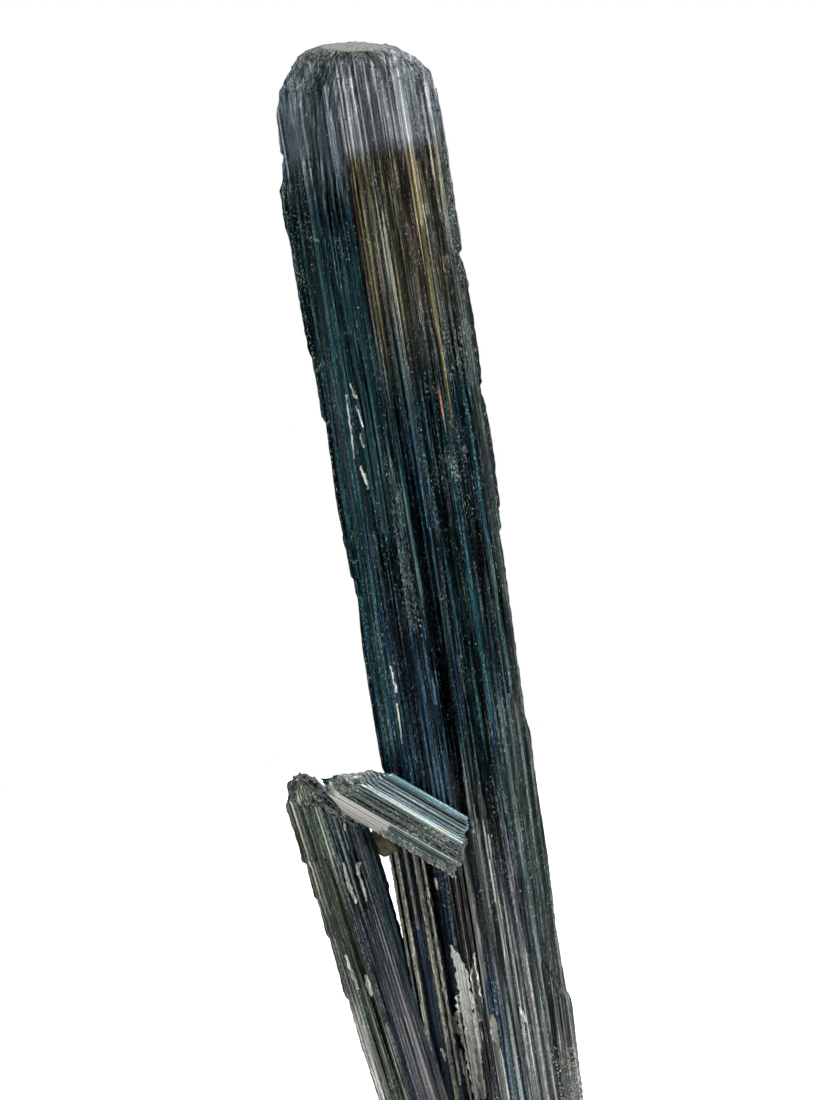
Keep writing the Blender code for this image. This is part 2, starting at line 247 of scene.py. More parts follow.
def raise_crystal(levels, step):
    """Extrudes the drawn outline up through its levels, sizing and shifting it as it goes."""
    widest = max(level[3] for level in levels)
    deepest = max(level[4] for level in levels)
    first = levels[0]
    here = Vector((first[1], first[2], first[0])) * MM
    width, depth = first[3] / widest, first[4] / deepest
    bpy.ops.mesh.select_all(action="SELECT")
    bpy.ops.transform.resize(value=(width, depth, 1.0), center_override=(0.0, 0.0, 0.0))
    bpy.ops.transform.translate(value=here)
    for low, high in zip(levels, levels[1:]):
        steps = max(1, round((high[0] - low[0]) / step))
        for number in range(1, steps + 1):
            share = number / steps
            height, x, y, half_width, half_depth = (a + (b - a) * share for a, b in zip(low, high))
            there = Vector((x, y, height)) * MM
            bpy.ops.mesh.extrude_region_move(TRANSFORM_OT_translate={"value": there - here})
            grow = (half_width / widest / width, half_depth / deepest / depth, 1.0)
            bpy.ops.transform.resize(value=grow, center_override=there)
            here, width, depth = there, half_width / widest, half_depth / deepest
    return here


def close_end(middle, rings):
    """Closes the end that is selected with rings of faces that shrink to its middle."""
    for ring in range(rings):
        left = 1.0 - 1.0 / (rings + 1 - ring)
        bpy.ops.mesh.extrude_region_move(TRANSFORM_OT_translate={"value": (0.0, 0.0, 0.0)})
        bpy.ops.transform.resize(value=(left, left, 1.0), center_override=middle)
    bpy.ops.mesh.merge(type="CENTER")


def leave_edit():
    """Turns every face of the crystal outwards and leaves edit mode."""
    bpy.ops.mesh.select_all(action="SELECT")
    bpy.ops.mesh.normals_make_consistent(inside=False)
    bpy.ops.object.mode_set(mode="OBJECT")


def open_partings(crystal, levels, partings):
    """Pushes the surface in along a crystal's lengthwise partings."""
    for vertex in crystal.data.vertices:
        height = vertex.co.z / MM
        for low, high in zip(levels, levels[1:]):
            if height <= high[0]:
                break
        share = min(1.0, max(0.0, (height - low[0]) / (high[0] - low[0])))
        middle = Vector((low[1] + (high[1] - low[1]) * share, low[2] + (high[2] - low[2]) * share)) * MM
        spoke = vertex.co.xy - middle
        inset = 0.0
        for offset, half_width, depth, start, full in partings:
            opened = min(1.0, max(0.0, (start - height) / (start - full)))
            inset += depth * MM * opened * math.exp(-((spoke.x / MM - offset) / half_width) ** 2)
        inset *= min(1.0, max(0.05, (height - PARTING_FADE[0]) / (PARTING_FADE[1] - PARTING_FADE[0])))
        if spoke.length > END_RADIUS * MM:
            vertex.co.xy = middle + spoke * (1.0 - inset / spoke.length)


def chip_edges(crystal, axis, foot, half_width, chips):
    """Sets the side edges in below each chip, and lets them out again over its run."""
    for vertex in crystal.data.vertices:
        point = vertex.co / MM
        across = point.x - foot.x - axis.x * point.z
        for side, top, depth, run in chips:
            share = (top - point.z) / run
            if 0.0 <= share < 1.0 and across * side > 0.0:
                edge = min(1.0, max(0.0, (across * side - 0.70 * half_width) / (0.2 * half_width)))
                vertex.co.x -= side * depth * (1.0 - share) * edge * MM


def refine(crystal, levels=1):
    """Divides every face of a crystal evenly, without rounding it."""
    modifier = crystal.modifiers.new("refine", "SUBSURF")
    modifier.subdivision_type = "SIMPLE"
    modifier.levels = modifier.render_levels = levels
    bpy.ops.object.modifier_apply(modifier=modifier.name)


def mark(crystal, name, rule):
    """Names a part of a crystal's surface; the rule gives each point's share, from 0 to 1, in mm."""
    group = crystal.vertex_groups.new(name=name)
    for vertex in crystal.data.vertices:
        share = min(1.0, max(0.0, rule(vertex.co / MM)))
        if share > 0.0:
            group.add([vertex.index], share, "REPLACE")


def weather(crystal, basis, across, along, height, axis, where="", layers=2):
    """Raises and lowers the surface by a natural pattern of a feature size across and along it."""
    guide = bpy.data.objects.new("guide", None)
    guide.scale = (across * MM, across * MM, along * MM)
    guide.rotation_mode = "QUATERNION"
    guide.rotation_quaternion = UPRIGHT.rotation_difference(axis)
    bpy.context.scene.collection.objects.link(guide)
    bpy.context.view_layer.update()
    pattern = bpy.data.textures.new("pattern", "CLOUDS")
    pattern.noise_basis = basis
    pattern.noise_scale = 1.0
    pattern.noise_depth = layers
    modifier = crystal.modifiers.new("weather", "DISPLACE")
    modifier.texture = pattern
    modifier.texture_coords = "OBJECT"
    modifier.texture_coords_object = guide
    modifier.strength = height * MM
    modifier.vertex_group = where
    bpy.ops.object.modifier_apply(modifier=modifier.name)
    bpy.data.objects.remove(guide)
    bpy.data.textures.remove(pattern)


def finish_faces(crystal, sharp=24.0):
    """Flattens the foot onto the cut again and keeps the edges crisp."""
    for vertex in crystal.data.vertices:
        if vertex.co.z < 0.45 * MM:
            vertex.co.z = 0.0
    bpy.ops.object.shade_smooth_by_angle(angle=math.radians(sharp))


def mix(tree, share, first, second, blend="MIX"):
    """Mixes two colours; each may be a socket, a colour or a grey."""
    added = add_node(tree, "ShaderNodeMix", data_type="RGBA", blend_type=blend)
    for index, source in ((0, share), (6, first), (7, second)):
        if isinstance(source, bpy.types.NodeSocket):
            tree.links.new(source, added.inputs[index])
        elif isinstance(source, tuple):
            added.inputs[index].default_value = (*source, 1.0)
        else:
            added.inputs[index].default_value = source if index == 0 else (source, source, source, 1.0)
    return added.outputs[2]


def between(tree, value, limits):
    """One between the middle two of four limits, nothing outside the outer two, sloping between."""
    rise = slope(tree, value, limits[0], limits[1])
    fall = slope(tree, value, limits[3], limits[2])
    return product(tree, rise, fall)


def clouds(tree, place, size, length, detail=2.0, roughness=0.5):
    """Soft noise of a feature size across and along the crystal, in mm."""
    stretched = add_node(tree, "ShaderNodeMapping", place, Scale=(1.0 / size, 1.0 / size, 1.0 / length))
    return add_node(tree, "ShaderNodeTexNoise", stretched.outputs[0], Scale=1.0, Detail=detail,
                    Roughness=roughness).outputs["Fac"]


def strip_cells(tree, place, width, length, feature):
    """Narrow growth strips of a width and length in mm, about three times as deep as wide."""
    scale = (1.0 / width, 0.35 / width, 1.0 / length)
    stretched = add_node(tree, "ShaderNodeMapping", place, Scale=scale).outputs[0]
    return add_node(tree, "ShaderNodeTexVoronoi", stretched, Scale=1.0, feature=feature)


def strips(tree, place, width, length):
    """A random value for each growth strip."""
    cells = strip_cells(tree, place, width, length, "F1")
    return add_node(tree, "ShaderNodeSeparateColor", cells.outputs["Color"]).outputs[0]


def strip_profile(tree, place, width, length, stops):
    """A value that goes from where two growth strips meet to the middle of each strip."""
    cells = strip_cells(tree, place, width, length, "DISTANCE_TO_EDGE")
    return ramp(tree, cells.outputs["Distance"], stops)


# The dark and the bright shade of frost, how bright one strip may be, the painted glint that the
# brightest strips take on, and the grey of faces that lie level.
FROST_SHADES = ((0.026, 0.050, 0.050), (0.420, 0.480, 0.450))
BRIGHTEST_STRIP = 1.7
PAINTED_GLINT_COLOUR = (0.080, 0.100, 0.092)
LEVEL_GREY = (0.072, 0.084, 0.064)


def striated_finish(name, axis, foot, hues, dull=0.0, zones=(), frost=(), top_frost=1.0,
                    frost_shades=FROST_SHADES, spacing=0.85):
    """Striated metal: a tarnish that changes from strip to strip, zones of other hues, and frost.

    A zone is its hues, its four limits along and across the crystal in mm from its foot, how much
    of it takes the hues, and how dull it is; outside the zones the metal is as dull as dull says,
    from 0 for bright to 1. Frost is a list of the same limits, each with how much of the surface it
    covers, and top_frost is how much it covers where the surface faces up. Painted shade darkens the
    slots between ridges, which are the spacing apart, in mm, and a painted glint lightens the
    brightest strips.
    """
    material = bpy.data.materials.new(name)
    material.use_nodes = True
    tree = material.node_tree
    shader = tree.nodes["Principled BSDF"]
    turn = UPRIGHT.rotation_difference(axis).inverted()
    seen = add_node(tree, "ShaderNodeTexCoord").outputs["Object"]
    place = add_node(tree, "ShaderNodeMapping", seen, Scale=(1.0 / MM, 1.0 / MM, 1.0 / MM),
                     Rotation=turn.to_euler(), Location=-(turn @ foot)).outputs[0]
    broad = strips(tree, place, 1.2, 60.0)
    narrow = strips(tree, place, 0.45, 75.0)
    hair = strips(tree, place, 0.24, 9.0)
    drift = clouds(tree, place, 3.5, 24.0)
    patches = clouds(tree, place, 1.6, 6.0)
    grit = clouds(tree, place, 0.22, 0.42, detail=2.0, roughness=0.7)
    ridges = clouds(tree, place, 0.45, 50.0)
    slot_shade = strip_profile(tree, place, spacing, 90.0, [(0.05, 0.08), (0.16, 1.0)])
    rounds = strip_profile(tree, place, spacing, 90.0, [(0.0, 0.0), (0.15, 0.65), (0.38, 1.0)])

    hue = arithmetic(tree, "MULTIPLY_ADD", broad, 0.34, product(tree, drift, 0.55))
    hue = arithmetic(tree, "MULTIPLY_ADD", narrow, 0.24, hue)
    colour = ramp(tree, hue, hues)
    axes = add_node(tree, "ShaderNodeSeparateXYZ", place).outputs
    ragged = arithmetic(tree, "MULTIPLY_ADD", narrow, 1.1, axes["Z"])
    dullness = dull
    for zone_hues, along, across, share, zone_dull in zones:
        reach = product(tree, between(tree, ragged, along), between(tree, axes["X"], across))
        colour = mix(tree, product(tree, reach, share), colour, ramp(tree, narrow, zone_hues))
        dullness = mix(tree, reach, dullness, zone_dull)

    shade = ramp(tree, narrow, [(0.0, 0.45), (0.5, 0.9), (0.85, 1.3), (1.0, 1.9)])
    for pattern, stops in ((hair, [(0.0, 0.50), (0.55, 1.0), (0.85, 1.35), (1.0, 1.8)]),
                           (grit, [(0.36, 0.60), (0.50, 1.0), (0.66, 1.60)]),
                           (broad, [(0.0, 0.50), (0.5, 1.0), (1.0, 1.6)])):
        shade = mix(tree, 1.0, shade, ramp(tree, pattern, stops), "MULTIPLY")
    # Painted shade: the colour falls to near black where two growth strips meet, in the slots between ridges.
    shade = mix(tree, 1.0, mix(tree, 1.0, shade, BRIGHTEST_STRIP, "DARKEN"), slot_shade, "MULTIPLY")
    colour = mix(tree, 1.0, colour, mix(tree, dullness, shade, 1.0), "MULTIPLY")
    # Painted glint: a grey-green highlight added to the colour where the brightest hair strips meet coarse
    # grit.
    painted_glint = product(tree, ramp(tree, hair, [(0.68, 0.0), (0.96, 1.0)]),
                   ramp(tree, grit, [(0.45, 0.0), (0.58, 1.0)]))
    colour = mix(tree, painted_glint, colour, PAINTED_GLINT_COLOUR, "ADD")

    cover = 0.0
    for along, across, share in frost:
        reach = product(tree, between(tree, axes["Z"], along), between(tree, axes["X"], across))
        cover = arithmetic(tree, "MAXIMUM", cover, product(tree, reach, share))
    cover = product(tree, cover, ramp(tree, patches, [(0.42, 0.35), (0.62, 1.0)]))
    facing = add_node(tree, "ShaderNodeNewGeometry").outputs["Normal"]
    upwards = add_node(tree, "ShaderNodeSeparateXYZ", facing).outputs["Z"]
    top_cover = product(tree, slope(tree, upwards, 0.40, 0.75, top_frost),
                        ramp(tree, patches, [(0.38, 0.65), (0.58, 1.0)]))
    cover = arithmetic(tree, "MAXIMUM", cover, top_cover)
    frosted = ramp(tree, arithmetic(tree, "MULTIPLY_ADD", cover, 0.36, grit), [(0.70, 0.0), (0.80, 0.85)])
    specks = ramp(tree, grit, [(0.44, 0.0), (0.56, 0.25), (0.72, 1.0)])
    colour = mix(tree, frosted, colour, mix(tree, specks, *frost_shades))
    colour = mix(tree, slope(tree, upwards, 0.80, 0.96, 0.8 * top_frost), colour, LEVEL_GREY)

    tree.links.new(mix(tree, frosted, mix(tree, dullness, 0.92, 0.10), 0.25), shader.inputs["Metallic"])
    gloss = mix(tree, dullness, ramp(tree, hair, [(0.0, 0.20), (1.0, 0.38)]), 0.60)
    tree.links.new(mix(tree, frosted, gloss, 0.62), shader.inputs["Roughness"])
    tree.links.new(colour, shader.inputs["Base Color"])
    relief = arithmetic(tree, "ADD", product(tree, ridges, 0.5), product(tree, grit, 0.35))
    relief = arithmetic(tree, "MULTIPLY_ADD", rounds, 0.45, relief)
    bump = add_node(tree, "ShaderNodeBump", Strength=0.65, Distance=0.35 * MM)
    tree.links.new(relief, bump.inputs["Height"])
    tree.links.new(bump.outputs[0], shader.inputs["Normal"])
    return material


def stand_for(piece, material, cad_node="stibnite_crystals"):
    """Gives a finished piece its material, attaches it to the root body and hides the solid it stands for."""
    piece.data.materials.clear()
    piece.data.materials.append(material)
    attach(piece, "root")
    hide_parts(cad_node)


EVERYWHERE = (-99.0, -98.0, 298.0, 299.0)


def below(full, end):
    """Limits with no start: all of it up to a full value, and nothing past an end, in mm."""
    return EVERYWHERE[:2] + (full, end)


def above(start, full):
    """Limits with no end: nothing up to a start, and all of it past a full value, in mm."""
    return (start, full) + EVERYWHERE[2:]


def line_across(at, half_width, fade=0.05):
    """The limits across a crystal of one lengthwise line, in mm."""
    return (at - half_width - fade, at - half_width, at + half_width, at + half_width + fade)


NAVY = (0.006, 0.020, 0.054)
DEEP_TEAL = (0.009, 0.050, 0.064)
TEAL = (0.014, 0.064, 0.072)
SLATE = (0.032, 0.072, 0.078)
GREY_GREEN = (0.048, 0.082, 0.064)
VIOLET = (0.040, 0.042, 0.074)
STEEL = (0.100, 0.130, 0.118)
MAIN_HUES = [(0.20, NAVY), (0.32, DEEP_TEAL), (0.50, DEEP_TEAL), (0.60, TEAL), (0.68, NAVY), (0.76, SLATE),
             (0.84, GREY_GREEN), (0.90, VIOLET), (0.97, STEEL)]
SILVER_HUES = [(0.0, (0.095, 0.115, 0.165)), (0.22, (0.28, 0.30, 0.32)), (0.40, (0.115, 0.125, 0.200)),
               (0.60, (0.36, 0.39, 0.40)), (0.78, (0.17, 0.20, 0.26)), (1.0, (0.58, 0.60, 0.60))]
NAVY_END_HUES = [(0.0, (0.082, 0.124, 0.155)), (0.5, (0.16, 0.215, 0.245)), (1.0, (0.30, 0.355, 0.375))]
DARK_TEAL_HUES = [(0.0, (0.008, 0.048, 0.068)), (0.7, (0.014, 0.070, 0.084)), (1.0, (0.030, 0.098, 0.102))]
NAVY_LOW_HUES = [(0.0, (0.002, 0.016, 0.048)), (0.6, (0.006, 0.036, 0.068)), (1.0, (0.036, 0.080, 0.104))]
BRONZE_HUES = [(0.0, (0.045, 0.048, 0.044)), (0.20, (0.155, 0.104, 0.068)), (0.38, (0.076, 0.098, 0.090)),
               (0.55, (0.180, 0.172, 0.114)), (0.68, (0.125, 0.092, 0.084)), (0.84, (0.260, 0.225, 0.124)),
               (1.0, (0.27, 0.285, 0.240))]
GOLD_HUES = [(0.0, (0.23, 0.195, 0.080)), (1.0, (0.46, 0.395, 0.17))]
COPPER_HUES = [(0.0, (0.22, 0.085, 0.030)), (1.0, (0.44, 0.20, 0.075))]
PARTING_SHADE_HUES = [(0.0, (0.003, 0.007, 0.022)), (1.0, (0.008, 0.018, 0.045))]
LOW_HUES = [(0.0, (0.018, 0.036, 0.070)), (0.2, (0.140, 0.180, 0.180)), (0.4, (0.036, 0.062, 0.108)),
            (0.55, (0.170, 0.142, 0.138)), (0.7, (0.26, 0.30, 0.275)), (0.85, (0.075, 0.075, 0.130)),
            (1.0, (0.43, 0.46, 0.42))]
CREAM_LINE_HUES = [(0.0, (0.016, 0.030, 0.052)), (0.26, (0.120, 0.140, 0.132)), (0.44, (0.028, 0.060, 0.086)),
                   (0.62, (0.150, 0.112, 0.096)), (0.78, (0.060, 0.105, 0.116)), (1.0, (0.27, 0.27, 0.225))]
PURPLE_HUES = [(0.0, (0.014, 0.020, 0.042)), (0.28, (0.090, 0.068, 0.090)), (0.48, (0.020, 0.044, 0.060)),
               (0.70, (0.135, 0.106, 0.116)), (0.84, (0.034, 0.038, 0.070)), (1.0, (0.20, 0.23, 0.21))]
OLIVE_RIDGE_HUES = [(0.0, (0.008, 0.020, 0.026)), (0.28, (0.072, 0.100, 0.086)),
                    (0.46, (0.014, 0.034, 0.042)), (0.70, (0.116, 0.148, 0.128)),
                    (0.84, (0.036, 0.056, 0.062)), (1.0, (0.18, 0.21, 0.185))]
# Painted highlight: a pale, matt line down a ridge that stays bright whatever light falls on it.
RIDGE_HIGHLIGHT_HUES = [(0.0, (0.38, 0.41, 0.40)), (1.0, (0.72, 0.74, 0.72))]
RIM_HUES = [(0.0, (0.020, 0.028, 0.026)), (0.6, (0.085, 0.100, 0.090)), (1.0, (0.17, 0.19, 0.17))]
BLUE_SPOT_HUES = [(0.0, (0.004, 0.022, 0.060)), (0.6, (0.008, 0.060, 0.110)), (1.0, (0.05, 0.12, 0.16))]
# The big ridges of the upper front, gold tarnish lower down and a painted highlight higher up:
# across, half width, and the height where the gold starts, in mm.
MAIN_LINES = [(-1.00, 0.10, 122.0), (-0.35, 0.15, 112.0), (0.85, 0.08, 134.0), (1.60, 0.07, 130.0),
              (2.95, 0.07, 120.0), (4.35, 0.08, 118.0), (6.10, 0.09, 140.0), (7.62, 0.22, 100.0),
              (9.90, 0.10, 130.0), (11.40, 0.10, 136.0)]

main_crystal = draw_outline("main_crystal", MAIN_CORNERS, half_width=12.85, half_depth=9.6,
                            cuts=13, ridge=0.46, seed=3)
crown = raise_crystal(MAIN_LEVELS, step=1.3)
close_end(crown, rings=10)
leave_edit()
open_partings(main_crystal, MAIN_LEVELS, MAIN_PARTINGS)
refine(main_crystal)
chip_edges(main_crystal, MAIN_AXIS, MAIN_FOOT, 12.4, MAIN_CHIPS)


def off_plateau(point):
    """How far outside the plateau a point is: nothing on it, more than one past its rim."""
    x, y, half_width, half_depth = PLATEAU
    return 8.0 * (math.hypot((point.x - x) / half_width, (point.y - y) / half_depth) - 0.88)


mark(main_crystal, "sides", lambda p: max((160.2 - p.z) / 0.8, off_plateau(p)))
mark(main_crystal, "end", lambda p: min((p.z - 153.5) / 5.0, off_plateau(p)))
mark(main_crystal, "edges", lambda p: min(abs(p.x - MAIN_FOOT.x - MAIN_AXIS.x * p.z) - 11.2,
                                          (150.0 - p.z) / 5.0))
weather(main_crystal, "CELL_NOISE", 2.7, 45.0, 0.42, MAIN_AXIS, where="sides", layers=0)
weather(main_crystal, "CELL_NOISE", 1.3, 8.0, 0.16, MAIN_AXIS, where="sides", layers=0)
weather(main_crystal, "VORONOI_F2_F1", 1.1, 130.0, 0.46, MAIN_AXIS, where="sides", layers=0)
weather(main_crystal, "ORIGINAL_PERLIN", 0.5, 1.4, 0.14, MAIN_AXIS, where="sides")
weather(main_crystal, "ORIGINAL_PERLIN", 1.1, 1.1, 0.4, MAIN_AXIS, where="end")
weather(main_crystal, "ORIGINAL_PERLIN", 0.8, 1.5, 0.6, MAIN_AXIS, where="edges")
finish_faces(main_crystal)

stibnite_main = striated_finish(
    "stibnite_main", MAIN_AXIS, MAIN_FOOT, MAIN_HUES,
    zones=[
        # Low down: cream lines, purple beside them, grey-green ridges on the right, and the pale foot.
        (CREAM_LINE_HUES, below(44.0, 62.0), (-4.0, -3.8, 3.4, 3.8), 0.9, 0.15),
        (PURPLE_HUES, below(38.0, 54.0), (3.4, 3.8, 6.2, 6.6), 0.9, 0.1),
        (OLIVE_RIDGE_HUES, below(48.0, 72.0), above(6.4, 7.2), 0.9, 0.15),
        (LOW_HUES, below(12.0, 34.0), EVERYWHERE, 0.85, 0.1),
        (BLUE_SPOT_HUES, (14.5, 15.5, 21.0, 22.5), (-0.9, -0.7, 0.4, 0.6), 0.9, 0.1),
        # Above: bronze on the right, teal and navy on the left, painted shade down the partings, and a copper
        # streak.
        (BRONZE_HUES, (110.0, 128.0, 147.4, 149.2), above(-2.4, -1.4), 0.95, 0.12),
        (DARK_TEAL_HUES, (88.0, 102.0, 128.0, 142.0), (-10.5, -9.5, -3.4, -2.6), 0.9, 0.22),
        (NAVY_LOW_HUES, (40.0, 50.0, 68.0, 84.0), (-8.2, -7.0, -1.4, -0.4), 0.7, 0.1),
        (OLIVE_RIDGE_HUES, (46.0, 60.0, 136.0, 144.0), above(10.4, 11.2), 0.75, 0.2),
        # Painted shade: near-black navy down the two partings.
        (PARTING_SHADE_HUES, (44.0, 56.0, 106.0, 122.0), (-0.25, -0.1, 0.55, 0.75), 0.95, 0.0),
        (PARTING_SHADE_HUES, (80.0, 92.0, 108.0, 118.0), (3.7, 3.9, 4.5, 4.7), 0.8, 0.0),
        (COPPER_HUES, (105.0, 108.0, 110.5, 113.0), (6.25, 6.32, 6.52, 6.62), 0.95, 0.2),
        # The end: blue-grey on the left, silver on the right, and a painted highlight line on each big ridge.
        (NAVY_END_HUES, above(140.0, 150.0), below(-2.2, -1.5), 0.9, 0.34),
        (SILVER_HUES, above(146.4, 149.2), above(-2.4, -1.6), 0.95, 0.30),
    ] + [
        (GOLD_HUES, (start, start + 10.0, 146.4, 149.6), line_across(at, wide), 0.8, 0.2)
        for at, wide, start in MAIN_LINES
    ] + [
        (RIDGE_HIGHLIGHT_HUES, (146.8, 149.4, 161.0, 162.2), line_across(at, wide), 0.9, 0.6)
        for at, wide, start in MAIN_LINES
    ] + [
        (RIM_HUES, above(161.6, 162.2), EVERYWHERE, 0.8, 0.3),
    ],
    frost=[
        (above(138.0, 150.0), EVERYWHERE, 0.30),
        (above(158.8, 161.4), EVERYWHERE, 0.75),
        (above(143.0, 151.0), above(7.9, 9.0), 0.95),
        (above(150.0, 154.0), above(2.5, 5.0), 0.6),
        ((118.0, 128.0, 148.0, 152.0), above(10.6, 11.6), 0.8),
        ((80.0, 95.0, 118.0, 128.0), EVERYWHERE, 0.30),
        ((66.0, 78.0, 98.0, 106.0), (-3.8, -3.3, -1.6, -1.1), 0.70),
        ((95.0, 97.0, 101.0, 103.0), (5.0, 6.0, 9.0, 10.0), 0.65),
        ((76.0, 78.0, 80.0, 82.0), (-4.5, -3.8, -2.0, -1.4), 0.55),
        (EVERYWHERE, EVERYWHERE, 0.28),
        ((110.0, 114.0, 119.0, 122.0), above(6.8, 8.0), 0.80),
        ((50.0, 70.0, 150.0, 151.0), above(10.6, 11.8), 0.42),
        (EVERYWHERE, below(-11.5, -9.8), 0.60),
        (below(6.0, 20.0), above(4.0, 9.0), 0.5),
    ],
)


# ---- The broken end of the left column ------------------------------------------------------
# Below the cross blade the left column of the main crystal is missing. It snapped across its
# length, which left a steep, hackly break and a gap down to the left crystal.

# The outline of what is missing, seen from the front: x and height, in mm.
BREAK_OUTLINE = [(-21.0, 58.5), (-16.4, 56.2), (-15.0, 52.6), (-13.6, 50.0), (-10.5, 48.0), (-5.0, 45.5),
                 (-2.6, 43.6), (2.8, -5.0), (-22.0, -5.0)]
BREAK_HALF_DEPTH = 16.0

bpy.ops.object.select_all(action="DESELECT")
bpy.ops.mesh.primitive_circle_add(vertices=len(BREAK_OUTLINE), fill_type="NGON")
missing_column = bpy.context.object
for vertex, (x, z) in zip(missing_column.data.vertices, BREAK_OUTLINE):
    vertex.co = (x * MM, -BREAK_HALF_DEPTH * MM, z * MM)
bpy.ops.object.mode_set(mode="EDIT")
bpy.ops.mesh.select_all(action="SELECT")
bpy.ops.mesh.extrude_region_move(TRANSFORM_OT_translate={"value": (0.0, 2.0 * BREAK_HALF_DEPTH * MM, 0.0)})
leave_edit()
bpy.ops.object.select_all(action="DESELECT")
main_crystal.select_set(True)
bpy.context.view_layer.objects.active = main_crystal
snap = main_crystal.modifiers.new("snap", "BOOLEAN")
snap.operation = "DIFFERENCE"
snap.solver = "MANIFOLD"
snap.object = missing_column
bpy.ops.object.modifier_apply(modifier=snap.name)
bpy.data.objects.remove(missing_column)
stand_for(main_crystal, stibnite_main)


# ---- The left crystal -----------------------------------------------------------------------
# A second, shorter crystal of the spray, which leans further to the left. It ends in a blunt,
# etched point, and a parting runs down its front, painted near-black navy as its shade.

LAMELLA_WIDTH = 1.1
EIGHT_SIDED = [(-1.0, -0.25), (-0.62, -0.88), (0.30, -1.0), (0.88, -0.60), (1.0, 0.22), (0.60, 0.88),
               (-0.20, 1.0), (-0.86, 0.62)]


def grow(name, corners, half_width, half_depth, foot, axis, length, cuts, ridge, step, seed,
         taper=1.0, upper=(), lower=(), rings=7, ragged=0.0):
    """Grows a leaning crystal and ends it in flat faces, each a point and a direction in mm.

    Every growth line keeps its place across the crystal, and stops where it meets the end faces, or
    short of them by up to the ragged length. The step is the length of one face along the crystal.
    """
    crystal = draw_outline(name, corners, half_width, half_depth, cuts, ridge, seed)
    tip = foot + axis * length
    levels = [(foot.z, foot.x, foot.y, half_width, half_depth),
              (tip.z, tip.x, tip.y, half_width * taper, half_depth * taper)]
    close_end(raise_crystal(levels, step), rings)
    if lower:
        bpy.ops.mesh.select_all(action="DESELECT")
        standing = bmesh.from_edit_mesh(crystal.data)
        max(standing.faces, key=lambda face: len(face.verts)).select_set(True)
        bmesh.update_edit_mesh(crystal.data)
        close_end(foot * MM, rings)
    leave_edit()
    for vertex in crystal.data.vertices:
        point = vertex.co / MM
        share = (point.z - foot.z) / length
        offset = point - foot - axis * (share * length)
        start = foot + offset
        high = min([length] + [(place - start).dot(facing) / axis.dot(facing) for place, facing in upper])
        low = max([0.0] + [(place - start).dot(facing) / axis.dot(facing) for place, facing in lower])
        short = ragged * noise.cell(Vector((offset.x, 0.6 * offset.y, seed)) / LAMELLA_WIDTH)
        high, low = high - short, low + (short if lower else 0.0)
        vertex.co = (start + axis * (low + (high - low) * share)) * MM
    refine(crystal)
    return crystal


LEFT_FOOT = Vector((-9.65, -2.0, 0.0))
LEFT_AXIS = Vector((-0.298, -0.020, 1.0))
LEFT_END = [
    (Vector((-27.2, -2.0, 51.0)), Vector((0.56, -0.12, 0.80))),
    (Vector((-27.4, -2.0, 50.7)), Vector((-0.30, -0.10, 0.94))),
    (Vector((-28.95, -2.0, 48.6)), Vector((-0.90, -0.10, 0.40))),
    (Vector((-26.6, -6.6, 50.0)), Vector((-0.05, -0.75, 0.66))),
    (Vector((-26.0, 2.4, 49.0)), Vector((0.05, 0.75, 0.66))),
]
LEFT_LEVELS = [(0.0, -9.65, -2.0), (56.0, -26.34, -3.12)]
LEFT_PARTINGS = [(0.40, 0.20, 0.8, 44.0, 30.0), (-3.0, 0.22, 0.6, 60.0, 20.0), (2.9, 0.22, 0.4, 30.0, 10.0)]
LEFT_CHIPS = [(-1, 38.0, 0.35, 5.0), (-1, 32.5, 0.30, 5.0), (-1, 26.5, 0.35, 7.0), (-1, 16.8, 0.30, 6.0)]

left_crystal = grow("left_crystal", EIGHT_SIDED, half_width=5.8, half_depth=6.2, foot=LEFT_FOOT,
                    axis=LEFT_AXIS, length=56.0, cuts=10, ridge=0.34, step=1.1, seed=11, taper=1.03,
                    upper=LEFT_END, ragged=0.25)
open_partings(left_crystal, LEFT_LEVELS, LEFT_PARTINGS)
chip_edges(left_crystal, LEFT_AXIS, LEFT_FOOT, 5.8, LEFT_CHIPS)
mark(left_crystal, "end", lambda p: (p.z - 46.0) / 4.0)
mark(left_crystal, "edges", lambda p: abs(p.x - LEFT_FOOT.x - LEFT_AXIS.x * p.z) - 4.4)
weather(left_crystal, "CELL_NOISE", 1.5, 9.0, 0.30, LEFT_AXIS, layers=0)
weather(left_crystal, "VORONOI_F2_F1", 1.1, 40.0, 0.5, LEFT_AXIS, layers=0)
weather(left_crystal, "ORIGINAL_PERLIN", 0.5, 0.9, 0.14, LEFT_AXIS)
weather(left_crystal, "ORIGINAL_PERLIN", 0.8, 0.8, 0.08, LEFT_AXIS, where="end")
weather(left_crystal, "ORIGINAL_PERLIN", 0.8, 1.5, 0.5, LEFT_AXIS, where="edges")
finish_faces(left_crystal)
LEFT_HUES = [(0.20, (0.018, 0.030, 0.042)), (0.40, (0.060, 0.072, 0.080)), (0.55, (0.026, 0.046, 0.058)),
             (0.70, (0.070, 0.080, 0.086)), (0.85, (0.090, 0.100, 0.104))]
OLIVE_HUES = [(0.0, (0.008, 0.014, 0.011)), (0.28, (0.072, 0.098, 0.064)), (0.45, (0.013, 0.026, 0.021)),
              (0.66, (0.150, 0.162, 0.108)), (0.80, (0.060, 0.046, 0.048)), (1.0, (0.28, 0.29, 0.215))]
PALE_HUES = [(0.0, (0.16, 0.16, 0.145)), (0.3, (0.36, 0.36, 0.32)), (0.5, (0.20, 0.20, 0.185)),
             (0.75, (0.42, 0.42, 0.375)), (1.0, (0.52, 0.52, 0.475))]
TEAL_EDGE_HUES = [(0.0, (0.006, 0.024, 0.040)), (1.0, (0.018, 0.060, 0.080))]
